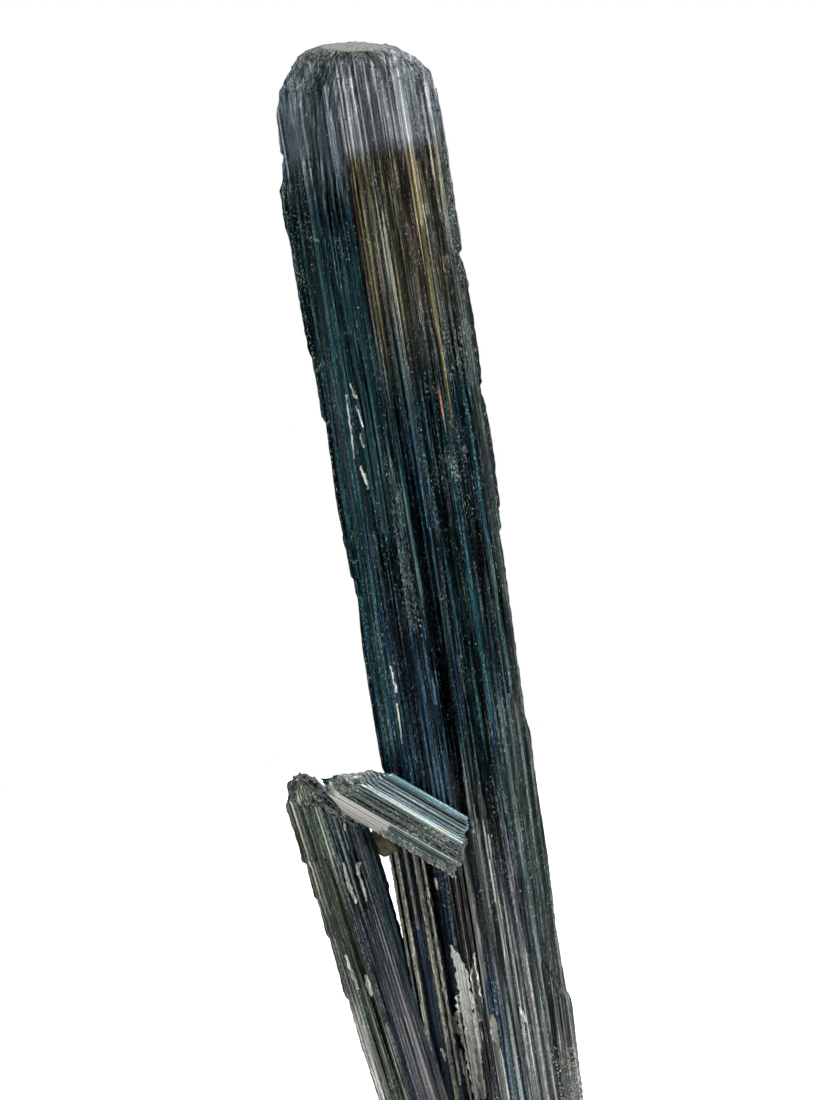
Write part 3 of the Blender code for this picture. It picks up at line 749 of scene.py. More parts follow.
MAUVE_HUES = [(0.0, (0.046, 0.044, 0.052)), (0.5, (0.094, 0.086, 0.096)), (1.0, (0.155, 0.146, 0.150))]
LEFT_PARTING_SHADE_HUES = [(0.0, (0.002, 0.004, 0.016)), (1.0, (0.005, 0.009, 0.032))]
stibnite_left = striated_finish(
    "stibnite_left", LEFT_AXIS, LEFT_FOOT, LEFT_HUES,
    zones=[
        (OLIVE_HUES, EVERYWHERE, below(-0.8, 0.0), 0.9, 0.1),
        (MAUVE_HUES, below(16.0, 32.0), above(0.8, 1.3), 0.65, 0.4),
        (PALE_HUES, below(16.0, 22.0), below(-3.6, -3.2), 0.95, 0.2),
        # Painted shade: near-black navy down the parting.
        (LEFT_PARTING_SHADE_HUES, below(33.0, 41.0), (-0.05, 0.05, 0.78, 0.88), 1.0, 0.35),
        (TEAL_EDGE_HUES, above(4.0, 12.0), above(3.9, 4.5), 0.95, 0.3),
    ],
    frost=[(above(42.0, 49.0), EVERYWHERE, 0.28), (EVERYWHERE, below(-3.0, -1.5), 0.40),
           (EVERYWHERE, EVERYWHERE, 0.25)],
    frost_shades=((0.018, 0.034, 0.031), (0.155, 0.21, 0.19)), spacing=0.6, top_frost=0.8,
)
stand_for(left_crystal, stibnite_left)


# ---- The cross blade ------------------------------------------------------------------------
# A short thick blade of stibnite that lies across the front, where the two tall crystals part.
# Its top is silvery and striated, and its lower face is a pale break with a crumbly crust.

BLADE_CENTRE = Vector((-12.2, -10.0, 47.5))
BLADE_DIP = math.radians(30.5)
BLADE_TURN = Matrix.Rotation(BLADE_DIP - math.radians(90.0), 3, "Y")
BLADE_AXIS = BLADE_TURN @ UPRIGHT
BLADE_LENGTH = 27.0
BLADE_CORNERS = [(-1.15, 0.05), (-0.42, -1.0), (0.55, -0.6), (1.0, 0.15), (0.5, 0.95), (-0.6, 1.0)]
# The edge and the heel of the flat break that its lower front ends in, in its own upright frame.
BLADE_FACET = (Vector((-1.8, -3.7, 0.0)), Vector((-4.95, 0.18, 0.0)))
BLADE_UPPER = [
    (Vector((-2.9, 0.0, 11.5)), Vector((0.72, -0.22, 0.66))),
    (Vector((-4.4, 0.0, 7.4)), Vector((-0.90, -0.20, 0.40))),
]
BLADE_LOWER = [(Vector((3.5, 0.0, -9.7)), Vector((0.29, -0.20, -0.93)))]

cross_blade = grow("cross_blade", BLADE_CORNERS, half_width=4.3, half_depth=3.7,
                   foot=UPRIGHT * (-BLADE_LENGTH / 2), axis=UPRIGHT, length=BLADE_LENGTH, cuts=13,
                   ridge=0.32, step=0.55, seed=23, upper=BLADE_UPPER, lower=BLADE_LOWER, ragged=0.5)
edge, heel = BLADE_FACET
for vertex in cross_blade.data.vertices:
    point = vertex.co / MM
    share = (point.x - edge.x) / (heel.x - edge.x)
    if 0.0 < share < 1.0 and point.y < 0.3:
        vertex.co.y = (edge.y + (heel.y - edge.y) * share) * MM
mark(cross_blade, "striated", lambda p: (p.x + 1.7) / 0.3 if p.y < 0.0 else 1.0)
mark(cross_blade, "broken", lambda p: max(min((-2.8 - p.x) / 0.6, (0.5 - p.z) / 2.0), (-9.5 - p.z) / 2.0))
weather(cross_blade, "VORONOI_F2_F1", 0.65, 60.0, 0.36, UPRIGHT, where="striated", layers=0)
weather(cross_blade, "ORIGINAL_PERLIN", 0.45, 2.0, 0.10, UPRIGHT, where="striated")
weather(cross_blade, "ORIGINAL_PERLIN", 0.8, 0.9, 0.38, UPRIGHT, where="broken")
cross_blade.data.transform(Matrix.Translation(BLADE_CENTRE * MM) @ BLADE_TURN.to_4x4())
finish_faces(cross_blade)
BLADE_HUES = [(0.20, (0.045, 0.095, 0.125)), (0.34, (0.21, 0.34, 0.37)), (0.44, (0.065, 0.15, 0.18)),
              (0.54, (0.29, 0.42, 0.43)), (0.62, (0.07, 0.13, 0.23)), (0.72, (0.17, 0.35, 0.40)),
              (0.82, (0.48, 0.59, 0.57))]
BREAK_HUES = [(0.0, (0.22, 0.215, 0.195)), (1.0, (0.36, 0.35, 0.32))]
SMOOTH_TEAL_HUES = [(0.0, (0.018, 0.046, 0.052)), (1.0, (0.040, 0.085, 0.092))]
EDGE_HIGHLIGHT_HUES = [(0.0, (0.60, 0.57, 0.38)), (1.0, (0.85, 0.83, 0.66))]
CRUMBLY_HUES = [(0.0, (0.020, 0.030, 0.024)), (0.5, (0.065, 0.082, 0.064)), (1.0, (0.15, 0.175, 0.14))]
SLOT_SHADE_HUES = [(0.0, (0.008, 0.016, 0.022)), (1.0, (0.020, 0.036, 0.046))]
# How far across the blade its painted highlight lines run, in mm; each has a line of painted shade beside it,
# as a slot would.
BLADE_HIGHLIGHT_LINES = (0.42, 1.22, 1.62, 2.10, 2.48, 2.90, 3.25)
stibnite_blade = striated_finish(
    "stibnite_blade", BLADE_AXIS, BLADE_CENTRE, BLADE_HUES, dull=0.24,
    zones=[
        (CRUMBLY_HUES, above(-12.0, -11.0), (-1.75, -1.65, 0.0, 0.2), 0.9, 0.3),
        # Painted shade: near-black lines along the blade's slots.
        (SLOT_SHADE_HUES, (-12.0, -11.0, 6.0, 9.0), (-1.45, -1.40, -1.20, -1.15), 0.95, 0.0),
        (SLOT_SHADE_HUES, (-12.0, -11.0, 6.0, 9.0), (0.10, 0.15, 0.30, 0.35), 0.95, 0.0),
        # A painted highlight line down the blade's top, bright whatever light falls on it.
        (EDGE_HIGHLIGHT_HUES, (-12.0, -9.0, 8.0, 10.0), (0.80, 0.84, 0.95, 1.0), 0.8, 0.4),
        (GOLD_HUES, (-7.5, -6.8, -5.2, -4.5), (1.0, 1.05, 1.35, 1.4), 0.8, 0.3),
        (PALE_HUES, above(7.5, 9.0), above(-0.6, -0.2), 0.75, 0.45),
        (SMOOTH_TEAL_HUES, below(1.0, 1.5), below(-2.0, -1.9), 0.95, 0.2),
        (BREAK_HUES, above(1.0, 1.5), below(-2.0, -1.9), 1.0, 0.70),
        # A painted highlight along the edge of the pale break.
        (EDGE_HIGHLIGHT_HUES, above(-12.0, -9.0), (-2.0, -1.94, -1.82, -1.76), 0.95, 0.6),
        (TEAL_EDGE_HUES, above(11.2, 11.6), below(-1.2, -1.0), 1.0, 0.2),
    ] + [
        # Painted highlight lines, each followed by a line of painted shade.
        (RIDGE_HIGHLIGHT_HUES, (-12.0, -10.0, 7.0, 11.0), line_across(at, 0.04, 0.04), 0.65, 0.45)
        for at in BLADE_HIGHLIGHT_LINES
    ] + [
        (SLOT_SHADE_HUES, (-12.0, -10.0, 7.0, 11.0), (at + 0.10, at + 0.14, at + 0.22, at + 0.27), 0.75, 0.1)
        for at in BLADE_HIGHLIGHT_LINES
    ],
    frost=[(below(-10.5, -9.0), EVERYWHERE, 0.8), (above(12.0, 13.0), EVERYWHERE, 0.3),
           (below(0.0, 1.0), below(-3.3, -2.7), 0.75),
           ((-9.0, -7.5, -2.0, 0.0), (-1.1, -0.8, 0.6, 0.9), 1.3),
           (EVERYWHERE, (-1.75, -1.6, -0.1, 0.2), 0.72), (EVERYWHERE, EVERYWHERE, 0.2)],
    top_frost=0.0, frost_shades=((0.02, 0.03, 0.024), (0.52, 0.56, 0.52)), spacing=0.5,
)
stand_for(cross_blade, stibnite_blade)


# ---- The ribs on the right ------------------------------------------------------------------
# Two narrow crystals that grew against the main one's right side low down. Each stops in a
# slanting end, so the outline steps out twice on its way to the base.

# Foot, axis, length, half width and half depth, and a point and direction of the slanting end, in mm.
RIBS = {
    "right_rib": (Vector((12.5, -1.0, 0.0)), Vector((-0.137, 0.010, 1.0)), 64.0, 2.95, 4.2,
                  (Vector((6.9, -1.0, 58.8)), Vector((0.93, -0.10, 0.34)))),
    "low_right_rib": (Vector((13.5, -2.4, 0.0)), Vector((-0.130, 0.0, 1.0)), 24.0, 2.2, 4.0,
                      (Vector((12.5, -2.4, 18.6)), Vector((0.88, -0.20, 0.42)))),
}
stibnite_rib = striated_finish(
    "stibnite_rib", RIBS["right_rib"][1], RIBS["right_rib"][0], MAIN_HUES,
    zones=[(OLIVE_RIDGE_HUES, EVERYWHERE, EVERYWHERE, 0.85, 0.15),
           (LOW_HUES, below(12.0, 30.0), EVERYWHERE, 0.65, 0.15)],
    frost=[(EVERYWHERE, above(1.6, 2.4), 0.32), (below(8.0, 14.0), EVERYWHERE, 0.6),
           (EVERYWHERE, EVERYWHERE, 0.25)],
    frost_shades=((0.036, 0.052, 0.048), (0.36, 0.39, 0.35)),
)
for index, (name, (foot, axis, length, half_width, half_depth, end)) in enumerate(RIBS.items()):
    rib = grow(name, EIGHT_SIDED, half_width, half_depth, foot, axis, length, cuts=6, ridge=0.28, step=1.2,
               seed=31 + index, upper=[end], rings=4, ragged=1.2)
    weather(rib, "VORONOI_F2_F1", 1.0, 26.0, 0.45, axis, layers=0)
    weather(rib, "ORIGINAL_PERLIN", 0.6, 1.2, 0.28, axis)
    finish_faces(rib)
    stand_for(rib, stibnite_rib)


# ---- The columns in the crotch --------------------------------------------------------------
# Where the left column broke away, a bundle of thin columns with dark slots between them shows
# under the cross blade. Behind them stands a navy crystal, and on their right a smooth inner column
# whose far side is fluted with three ridges up to the main crystal.

SIX_SIDED = [(-1.0, -0.15), (-0.45, -1.0), (0.55, -0.95), (1.0, 0.10), (0.48, 1.0), (-0.52, 0.96)]
COLUMN_TOP = 44.5
COLUMN_HUES = [(0.15, (0.10, 0.11, 0.10)), (0.35, (0.40, 0.41, 0.34)), (0.55, (0.17, 0.18, 0.165)),
               (0.75, (0.58, 0.58, 0.49))]
# Foot x, lean, half width, and the height where it starts, in mm.
THIN_COLUMNS = [(-6.95, -0.170, 0.26, 0.0), (-6.10, -0.168, 0.46, 0.0), (-4.8, -0.166, 0.34, 28.0),
                (-3.2, -0.172, 0.48, 0.0), (-2.4, -0.165, 0.32, 4.0)]
stibnite_column = striated_finish(
    "stibnite_column", Vector((-0.175, 0.0, 1.0)), Vector((0.0, 0.0, 0.0)), COLUMN_HUES, dull=0.5,
    frost=[(EVERYWHERE, EVERYWHERE, 0.4)], frost_shades=((0.09, 0.09, 0.075), (0.38, 0.37, 0.31)),
)
for index, (foot_x, lean, half_width, start) in enumerate(THIN_COLUMNS):
    axis = Vector((lean, 0.0, 1.0))
    foot = Vector((foot_x, -2.6, 0.0)) + axis * start
    column = grow(f"thin_column_{index + 1}", SIX_SIDED, half_width, 2.8, foot, axis, COLUMN_TOP - start,
                  cuts=5, ridge=0.14, step=0.6, seed=41 + index, rings=2)
    weather(column, "ORIGINAL_PERLIN", 0.9, 2.0, 0.45, axis)
    weather(column, "ORIGINAL_PERLIN", 0.4, 0.45, 0.55, axis)
    finish_faces(column)
    stand_for(column, stibnite_column)

INNER_AXIS = Vector((-0.168, 0.0, 1.0))
INNER_FOOT = Vector((1.0, -0.6, 0.0))
INNER_HUES = [(0.20, (0.004, 0.012, 0.060)), (0.42, (0.006, 0.022, 0.044)), (0.58, (0.008, 0.026, 0.060)),
              (0.80, (0.020, 0.040, 0.066))]
inner_column = grow("inner_column", SIX_SIDED, half_width=3.3, half_depth=6.2, foot=INNER_FOOT,
                    axis=INNER_AXIS, length=47.0, cuts=8, ridge=0.24, step=1.2, seed=51, rings=3)
weather(inner_column, "VORONOI_F2_F1", 1.2, 30.0, 0.4, INNER_AXIS, layers=0)
weather(inner_column, "ORIGINAL_PERLIN", 0.5, 0.9, 0.14, INNER_AXIS)
finish_faces(inner_column)
stibnite_inner = striated_finish(
    "stibnite_inner", INNER_AXIS, INNER_FOOT, INNER_HUES,
    zones=[(CREAM_LINE_HUES, EVERYWHERE, above(-0.4, -0.2), 0.9, 0.1),
           (PURPLE_HUES, below(14.0, 40.0), above(-0.4, -0.2), 0.6, 0.1)],
    frost=[(EVERYWHERE, EVERYWHERE, 0.25)],
)
stand_for(inner_column, stibnite_inner)

# Foot x, half width and depth of the ridges that fill the side of the inner column, in mm.
SIDE_RIDGES = [(2.05, 0.46, 5.2), (2.85, 0.52, 6.0), (3.70, 0.50, 6.7)]
SIDE_HUES = [(0.0, (0.060, 0.062, 0.070)), (0.25, (0.190, 0.165, 0.150)), (0.45, (0.080, 0.090, 0.105)),
             (0.65, (0.230, 0.230, 0.195)), (0.80, (0.120, 0.100, 0.110)), (1.0, (0.36, 0.36, 0.31))]
stibnite_side = striated_finish(
    "stibnite_side", MAIN_AXIS, MAIN_FOOT, SIDE_HUES,
    zones=[(SIDE_HUES, EVERYWHERE, EVERYWHERE, 0.9, 0.3),
           (BLUE_SPOT_HUES, (14.5, 15.5, 21.0, 22.5), (-0.9, -0.7, 0.4, 0.6), 0.9, 0.1)],
    frost=[(EVERYWHERE, EVERYWHERE, 0.25)],
)
for index, (foot_x, half_width, half_depth) in enumerate(SIDE_RIDGES):
    foot = Vector((foot_x, -2.6, 0.0))
    ridge = grow(f"side_ridge_{index + 1}", SIX_SIDED, half_width, half_depth, foot, MAIN_AXIS, 44.0,
                 cuts=6, ridge=0.16, step=0.9, seed=81 + index, rings=2)
    weather(ridge, "ORIGINAL_PERLIN", 0.5, 2.5, 0.30, MAIN_AXIS)
    finish_faces(ridge)
    stand_for(ridge, stibnite_side)

BACKING_HUES = [(0.2, (0.010, 0.020, 0.075)), (0.5, (0.016, 0.034, 0.060)), (0.8, (0.030, 0.045, 0.110))]
backing = grow("column_backing", EIGHT_SIDED, half_width=3.5, half_depth=4.8,
               foot=Vector((-3.0, 1.2, 0.0)), axis=Vector((-0.19, 0.01, 1.0)), length=45.0,
               cuts=4, ridge=0.2, step=1.6, seed=57, rings=3)
weather(backing, "VORONOI_F2_F1", 1.2, 30.0, 0.4, INNER_AXIS, layers=0)
finish_faces(backing)
stibnite_backing = striated_finish(
    "stibnite_backing", INNER_AXIS, INNER_FOOT, BACKING_HUES,
    zones=[(NAVY_LOW_HUES, EVERYWHERE, EVERYWHERE, 0.3, 0.4)], frost=[(EVERYWHERE, EVERYWHERE, 0.2)],
)
stand_for(backing, stibnite_backing)


# ---- The crystals at the back ---------------------------------------------------------------
# Three shorter crystals of the same spray behind the tall ones, each ending in two slanting faces.

# Foot, axis, length, half width and half depth, taper, and a point and direction of each end face, in mm.
BACK_CRYSTALS = {
    "tall_back_crystal": (Vector((4.6, 9.6, 0.0)), Vector((-0.150, 0.030, 1.0)), 84.0, 6.6, 6.0, 0.94,
                          [(Vector((-7.0, 12.0, 79.0)), Vector((0.35, 0.62, 0.70))),
                           (Vector((-10.5, 12.0, 77.5)), Vector((-0.70, 0.30, 0.65)))]),
    "leaning_back_crystal": (Vector((8.2, 9.0, 0.0)), Vector((-0.075, 0.175, 1.0)), 52.0, 4.4, 4.2, 0.95,
                             [(Vector((5.4, 18.0, 48.0)), Vector((0.50, 0.35, 0.79))),
                              (Vector((3.4, 18.0, 48.6)), Vector((-0.62, -0.10, 0.78)))]),
    "low_back_crystal": (Vector((-6.4, 6.0, 0.0)), Vector((-0.200, 0.110, 1.0)), 26.0, 4.8, 4.6, 0.95,
                         [(Vector((-11.0, 8.6, 22.0)), Vector((0.20, 0.62, 0.75))),
                          (Vector((-13.4, 8.6, 21.0)), Vector((-0.75, 0.10, 0.65)))]),
}
for index, (name, sizes) in enumerate(BACK_CRYSTALS.items()):
    foot, axis, length, half_width, half_depth, taper, ends = sizes
    crystal = grow(name, EIGHT_SIDED, half_width, half_depth, foot, axis, length, cuts=8, ridge=0.30,
                   step=1.3, seed=61 + index, taper=taper, upper=ends)
    weather(crystal, "VORONOI_F2_F1", 1.1, 30.0, 0.5, axis, layers=0)
    weather(crystal, "ORIGINAL_PERLIN", 0.5, 0.9, 0.16, axis)
    finish_faces(crystal)
    stibnite_back = striated_finish(
        "stibnite_" + name, axis, foot, MAIN_HUES,
        zones=[(LOW_HUES, below(10.0, 45.0), EVERYWHERE, 0.75, 0.0)],
        frost=[(above(length - 12.0, length - 6.0), EVERYWHERE, 0.7), (EVERYWHERE, EVERYWHERE, 0.28)],
    )
    stand_for(crystal, stibnite_back)


# ---- The pale flakes ------------------------------------------------------------------------
# Thin scalloped flakes of silvery stibnite, cleaved from ridges that broke off, still cling to the
# crystals' fronts. Each follows a course down the front: x, height and half width, in mm.

FLAKES = {
    "large": [(-4.5, 26.0, 0.15), (-3.9, 24.5, 0.45), (-3.0, 22.1, 0.80), (-2.5, 19.4, 1.10),
              (-2.3, 17.4, 1.25), (-2.3, 14.0, 1.45), (-1.8, 10.6, 1.05), (-1.2, 7.2, 0.80),
              (-0.9, 3.8, 0.50), (-0.7, 2.0, 0.10)],
    "prong": [(-0.75, 25.2, 0.15), (-0.85, 24.0, 0.36), (-0.95, 22.0, 0.42), (-0.8, 19.9, 0.50),
              (-0.45, 17.4, 0.62), (-0.35, 14.0, 0.68), (-0.35, 10.6, 0.50), (-0.2, 7.2, 0.35),
              (0.3, 3.8, 0.45), (0.6, 2.0, 0.15)],
    "small": [(1.7, 15.8, 0.22), (2.0, 14.3, 0.48), (2.2, 12.4, 0.45), (2.6, 10.9, 0.18)],
    "low_right": [(5.8, 16.8, 0.15), (6.2, 15.8, 0.33), (6.8, 14.4, 0.22)],
    "navy_1": [(-8.0, 35.0, 0.10), (-7.8, 34.4, 0.14), (-7.7, 33.9, 0.08)],
    "navy_2": [(-6.9, 36.0, 0.10), (-6.7, 35.0, 0.16), (-6.6, 34.2, 0.08)],
    "navy_3": [(-7.7, 32.7, 0.12), (-7.5, 32.0, 0.20), (-7.2, 31.1, 0.12)],
    "navy_4": [(-6.6, 26.2, 0.16), (-6.3, 25.2, 0.24), (-6.0, 24.0, 0.14)],
    "navy_5": [(-5.9, 21.4, 0.26), (-5.6, 20.2, 0.28), (-5.4, 18.2, 0.14)],
    "navy_6": [(-4.2, 14.1, 0.20), (-4.0, 13.0, 0.30), (-3.7, 11.5, 0.14)],
    "navy_7": [(-5.9, 9.1, 0.18), (-5.6, 8.2, 0.26), (-5.3, 7.1, 0.12)],
    "brown_1": [(-1.9, 12.0, 0.10), (-1.2, 8.0, 0.24), (-0.6, 4.0, 0.22), (-0.1, 0.8, 0.14)],
    "brown_2": [(-3.1, 9.0, 0.10), (-2.4, 6.0, 0.22), (-1.7, 2.5, 0.20), (-1.4, 0.8, 0.12)],
    "left_strip": [(-20.7, 39.1, 0.08), (-20.3, 37.4, 0.20), (-19.8, 35.4, 0.28), (-19.0, 33.4, 0.22),
                   (-18.8, 32.8, 0.08)],
    "left_knob": [(-18.3, 39.0, 0.28), (-18.5, 38.2, 0.24), (-18.3, 37.2, 0.10), (-17.9, 36.0, 0.16),
                  (-17.5, 34.5, 0.20), (-17.1, 33.1, 0.08)],
    "left_top": [(-21.0, 46.8, 0.15), (-20.5, 45.3, 0.21), (-20.4, 44.0, 0.12)],
    "left_low": [(-20.4, 24.8, 0.12), (-19.7, 22.8, 0.26), (-18.9, 20.6, 0.24), (-18.6, 19.4, 0.08)],
    "left_inner": [(-17.4, 21.7, 0.18), (-17.0, 20.1, 0.28), (-16.5, 18.4, 0.14)],
    "fleck_1": [(-20.2, 109.6, 0.04), (-19.9, 107.1, 0.09), (-19.4, 103.6, 0.10), (-19.0, 99.9, 0.07)],
    "fleck_2": [(-19.45, 111.3, 0.04), (-19.15, 110.3, 0.07), (-18.80, 109.2, 0.13)],
    "fleck_7": [(-18.05, 103.9, 0.05), (-17.85, 102.9, 0.09), (-17.65, 101.8, 0.05)],
    "fleck_3": [(-18.7, 108.1, 0.06), (-18.2, 106.6, 0.12), (-17.6, 104.9, 0.07)],
    "fleck_4": [(-18.1, 99.0, 0.10), (-17.5, 97.5, 0.20), (-16.8, 95.6, 0.09)],
    "fleck_5": [(-13.6, 68.6, 0.08), (-13.2, 66.8, 0.13), (-12.7, 64.8, 0.08)],
    "fleck_6": [(-12.6, 63.0, 0.04), (-12.3, 60.4, 0.07), (-11.9, 56.8, 0.04)],
}
# Length of one face, faces across, thickness, and how far the edges are scalloped, in mm.
FLAKE_STEP = 0.22
FLAKE_COLUMNS = 6
FLAKE_THICKNESS = 0.30
SCALLOP = 0.45
# A place well in front of the cluster, from which the front of a crystal is felt for, in mm.
IN_FRONT = -40.0


def lay_flake(name, course, carriers):
    """Lays a thin ragged strip along its course on the front of the crystals that carry it."""
    length = course[0][1] - course[-1][1]
    widest = max(half_width for x, height, half_width in course)
    body_thickness = min(FLAKE_THICKNESS, 0.08 + widest) * MM
    rows = max(8, round(length / FLAKE_STEP))
    bpy.ops.object.select_all(action="DESELECT")
    bpy.ops.mesh.primitive_grid_add(x_subdivisions=FLAKE_COLUMNS, y_subdivisions=rows, size=1.0)
    flake = bpy.context.object
    flake.name = name
    for vertex in flake.data.vertices:
        height = course[0][1] - (0.5 - vertex.co.y) * length
        for high, low in zip(course, course[1:]):
            if height >= low[1]:
                break
        share = (high[1] - height) / (high[1] - low[1])
        half_width = high[2] + (low[2] - high[2]) * share
        edge = noise.noise(Vector((height * 1.4, 9.0 * vertex.co.x, len(name)))) * SCALLOP
        across = vertex.co.x * 2.0 * half_width
        if abs(vertex.co.x) > 0.3:
            across += edge * (half_width + 0.2)
        x = (high[0] + (low[0] - high[0]) * share + across) * MM
        start = Vector((x, IN_FRONT * MM, height * MM))
        found = [carrier.ray_cast(start, Vector((0.0, 1.0, 0.0))) for carrier in carriers]
        front = min(place.y for hit, place, normal, face in found if hit)
        vertex.co = (x, front - body_thickness, height * MM)
    bpy.ops.object.mode_set(mode="EDIT")
    bpy.ops.mesh.select_all(action="SELECT")
    bpy.ops.mesh.vertices_smooth(factor=0.5, repeat=3, xaxis=False, yaxis=True, zaxis=False)
    bpy.ops.object.mode_set(mode="OBJECT")
    body = flake.modifiers.new("body", "SOLIDIFY")
    body.thickness = body_thickness
    bpy.ops.object.modifier_apply(modifier=body.name)
    refine(flake)
    weather(flake, "ORIGINAL_PERLIN", 0.5, 0.5, min(0.22, 0.6 * widest), MAIN_AXIS)
    bpy.ops.object.mode_set(mode="EDIT")
    leave_edit()
    bpy.ops.object.shade_smooth_by_angle(angle=math.radians(30.0))
    return flake


carriers = [main_crystal, left_crystal, inner_column, backing, bpy.data.objects["thin_column_5"]]
carriers += [bpy.data.objects[f"side_ridge_{index + 1}"] for index in range(len(SIDE_RIDGES))]
flakes = [lay_flake("flake_" + name, course, carriers) for name, course in FLAKES.items()]
bpy.ops.object.select_all(action="DESELECT")
for flake in flakes:
    flake.select_set(True)
bpy.context.view_layer.objects.active = flakes[0]
bpy.ops.object.join()
pale_flakes = bpy.context.object
pale_flakes.name = "pale_flakes"
FLAKE_HUES = [(0.2, (0.33, 0.34, 0.30)), (0.5, (0.50, 0.515, 0.465)), (0.8, (0.62, 0.635, 0.58))]
STREAKED_HUES = [(0.0, (0.045, 0.045, 0.045)), (0.3, (0.31, 0.31, 0.275)), (0.5, (0.11, 0.108, 0.10)),
                 (0.7, (0.37, 0.365, 0.325)), (0.82, (0.15, 0.14, 0.135)), (1.0, (0.50, 0.50, 0.45))]
PALE_FLECK_HIGHLIGHT_HUES = [(0.0, (0.55, 0.57, 0.53)), (1.0, (0.88, 0.90, 0.85))]
stibnite_flake = striated_finish(
    "stibnite_flake", MAIN_AXIS, MAIN_FOOT, FLAKE_HUES, dull=0.40,
    # Flecks high on the main crystal: pale like the other flakes, and lightened further as a painted
    # highlight.
    zones=[(PALE_FLECK_HIGHLIGHT_HUES, above(64.5, 65.5), EVERYWHERE, 1.0, 0.7),
           (STREAKED_HUES, below(12.0, 22.0), EVERYWHERE, 0.75, 0.50)],
    frost=[(EVERYWHERE, EVERYWHERE, 0.45)], frost_shades=((0.08, 0.075, 0.065), (0.62, 0.61, 0.54)),
)
stand_for(pale_flakes, stibnite_flake)


# ---- The crumbly crust ----------------------------------------------------------------------
# Fine grains of stibnite that grew late: along the cross blade's lower edge and right end, on the
# tip of the left crystal, at the foot of the low rib, and here and there on the main crystal's
# shoulders and edges.

bpy.ops.object.select_all(action="DESELECT")
bpy.ops.mesh.primitive_ico_sphere_add(subdivisions=1, radius=0.5)
seed_grain = bpy.context.object
seed_grain.name = "seed_grain"
bpy.ops.object.mode_set(mode="EDIT")
bpy.ops.mesh.select_all(action="SELECT")
bpy.ops.transform.resize(value=(0.8, 0.9, 1.25))
bpy.ops.mesh.bisect(plane_co=(0.0, 0.0, 0.42), plane_no=(0.25, 0.1, 1.0), clear_outer=True, use_fill=True)
bpy.ops.object.mode_set(mode="OBJECT")


def sprinkle(name, crystal, count, smallest, largest, seed, rule):
    """Scatters so many grains, their sizes in mm, where a rule about place and facing picks."""
    rng = random.Random(seed)
    faces = [face for face in crystal.data.polygons if rule(face.center / MM, face.normal)]
    places = sorted((face.center.copy() for face in faces), key=tuple)
    crust = bpy.data.meshes.new(name)
    grains = bmesh.new()
    for place in rng.sample(places, min(count, len(places))):
        size = rng.uniform(smallest, largest) * MM
        angle = rng.uniform(0.0, math.tau)
        axis = Vector([rng.uniform(-1.0, 1.0) for part in range(3)])
        turn = Matrix.Rotation(angle, 4, axis)
        copy = seed_grain.data.copy()
        copy.transform(Matrix.Translation(place) @ turn @ Matrix.Scale(size, 4))
        grains.from_mesh(copy)
        bpy.data.meshes.remove(copy)
    grains.to_mesh(crust)
    grains.free()
    piece = bpy.data.objects.new(name, crust)
    bpy.context.scene.collection.objects.link(piece)
    return piece


def blade_place(point):
    """A point's place on the cross blade: across it, through it and along it."""
    return BLADE_TURN.transposed() @ (point - BLADE_CENTRE)


def under_blade(point, facing):
    """True on the lower edge of the cross blade's right half, and on its right end."""
    place = blade_place(point)
    return place.x < -3.0 and place.z < 1.0 or place.z < -11.0


def on_shoulder(point, facing):
    """True on the rounded shoulders of the main crystal, outside the plateau."""
    return 150.0 < point.z < 158.6 and 0.15 < facing.z < 0.75 and off_plateau(point) > 0.9


blade_crust = sprinkle("blade_crust", cross_blade, 1000, 0.12, 0.50, seed=71, rule=under_blade)
tip_crust = sprinkle("tip_crust", left_crystal, 150, 0.10, 0.18, seed=73, rule=lambda p, n: p.z > 47.0)
shoulder_crust = sprinkle("shoulder_crust", main_crystal, 300, 0.18, 0.42, seed=79, rule=on_shoulder)
edge_crust = sprinkle("edge_crust", main_crystal, 420, 0.15, 0.42, seed=83,
                      rule=lambda p, n: abs(n.x) > 0.85 and p.z > 20.0)
low_crust = sprinkle("low_crust", bpy.data.objects["low_right_rib"], 700, 0.20, 0.60, seed=89,
                     rule=lambda p, n: p.z < 10.0 and n.y < 0.3)
stibnite_crust = striated_finish(
    "stibnite_crust", MAIN_AXIS, MAIN_FOOT, [(0.3, (0.05, 0.065, 0.065)), (0.8, (0.20, 0.22, 0.21))],
    frost=[(EVERYWHERE, EVERYWHERE, 0.5)],
)
for crust in (tip_crust, shoulder_crust, edge_crust):
    stand_for(crust, stibnite_crust)
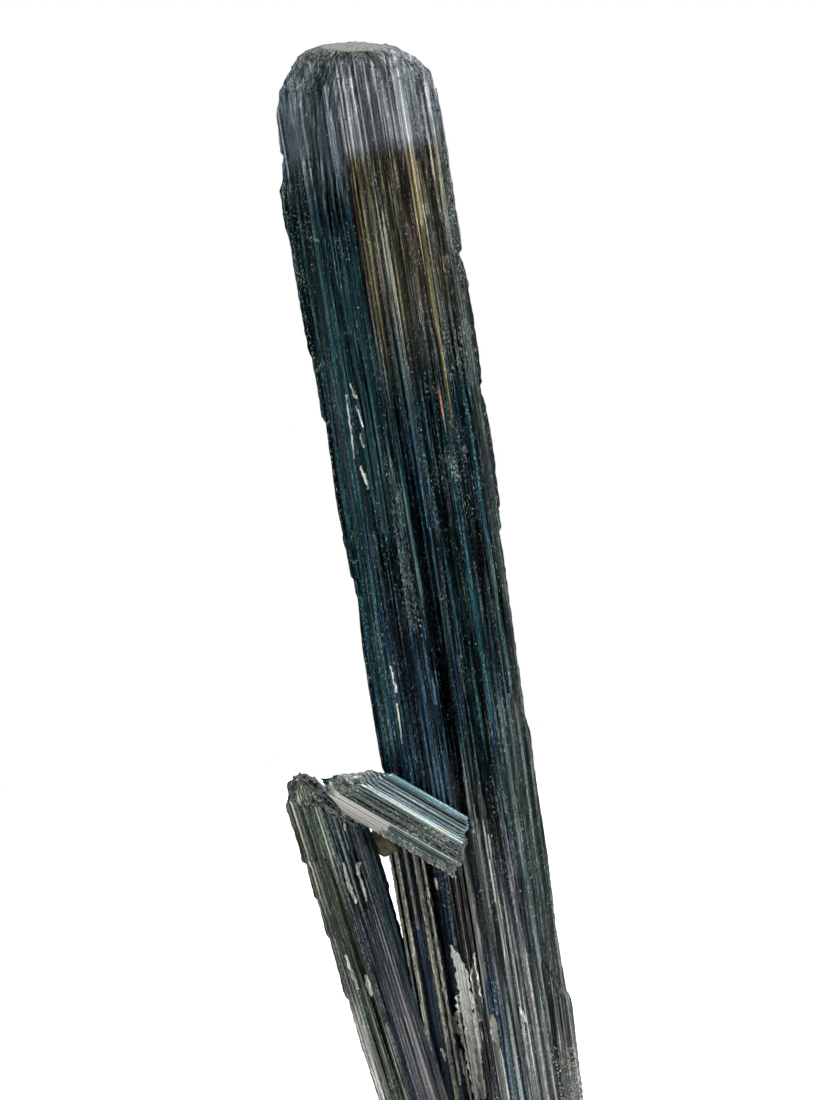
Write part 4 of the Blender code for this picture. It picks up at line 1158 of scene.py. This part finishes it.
stibnite_lace = striated_finish(
    "stibnite_lace", MAIN_AXIS, MAIN_FOOT, [(0.3, (0.11, 0.12, 0.105)), (0.8, (0.34, 0.34, 0.30))],
    zones=[(FLAKE_HUES, EVERYWHERE, EVERYWHERE, 0.1, 0.4)], frost=[(EVERYWHERE, EVERYWHERE, 0.4)],
)
for crust in (blade_crust, low_crust):
    stand_for(crust, stibnite_lace)
bpy.data.objects.remove(seed_grain)


# ---- The tan grain --------------------------------------------------------------------------
# A small translucent grain of calcite, tan-brown, etched and rounded, wedged in the crotch.

GRAIN_CENTRE = Vector((-14.4, -4.2, 41.6))
GRAIN_SIZE = Vector((3.3, 3.6, 4.4))
CALCITE_HUES = [(0.3, (0.014, 0.013, 0.003)), (0.55, (0.032, 0.030, 0.008)), (0.75, (0.070, 0.064, 0.026))]

bpy.ops.object.select_all(action="DESELECT")
bpy.ops.mesh.primitive_cube_add(size=1.0)
grain = bpy.context.object
grain.name = "tan_grain"
bpy.ops.object.mode_set(mode="EDIT")
bpy.ops.mesh.select_all(action="SELECT")
bpy.ops.transform.resize(value=GRAIN_SIZE * MM)
bpy.ops.mesh.bevel(offset=0.9 * MM, segments=3)
bpy.ops.transform.rotate(value=math.radians(24.0), orient_axis="Y", center_override=(0.0, 0.0, 0.0))
bpy.ops.transform.translate(value=GRAIN_CENTRE * MM)
bpy.ops.object.mode_set(mode="OBJECT")
refine(grain, 3)
weather(grain, "VORONOI_F1", 1.6, 1.6, -0.35, UPRIGHT, layers=0)
weather(grain, "ORIGINAL_PERLIN", 0.6, 0.6, 0.2, UPRIGHT)
bpy.ops.object.shade_smooth_by_angle(angle=math.radians(30.0))
calcite = bpy.data.materials.new("calcite_tan")
calcite.use_nodes = True
tree = calcite.node_tree
shader = tree.nodes["Principled BSDF"]
seen = add_node(tree, "ShaderNodeTexCoord").outputs["Object"]
speckle = add_node(tree, "ShaderNodeTexNoise", seen, Scale=900.0, Detail=3.0).outputs["Fac"]
tree.links.new(ramp(tree, speckle, CALCITE_HUES), shader.inputs["Base Color"])
shader.inputs["Roughness"].default_value = 0.45
shader.inputs["IOR"].default_value = 1.5
shader.inputs["Specular IOR Level"].default_value = 0.30
shader.inputs["Transmission Weight"].default_value = 0.12
stand_for(grain, calcite, "calcite_grain")
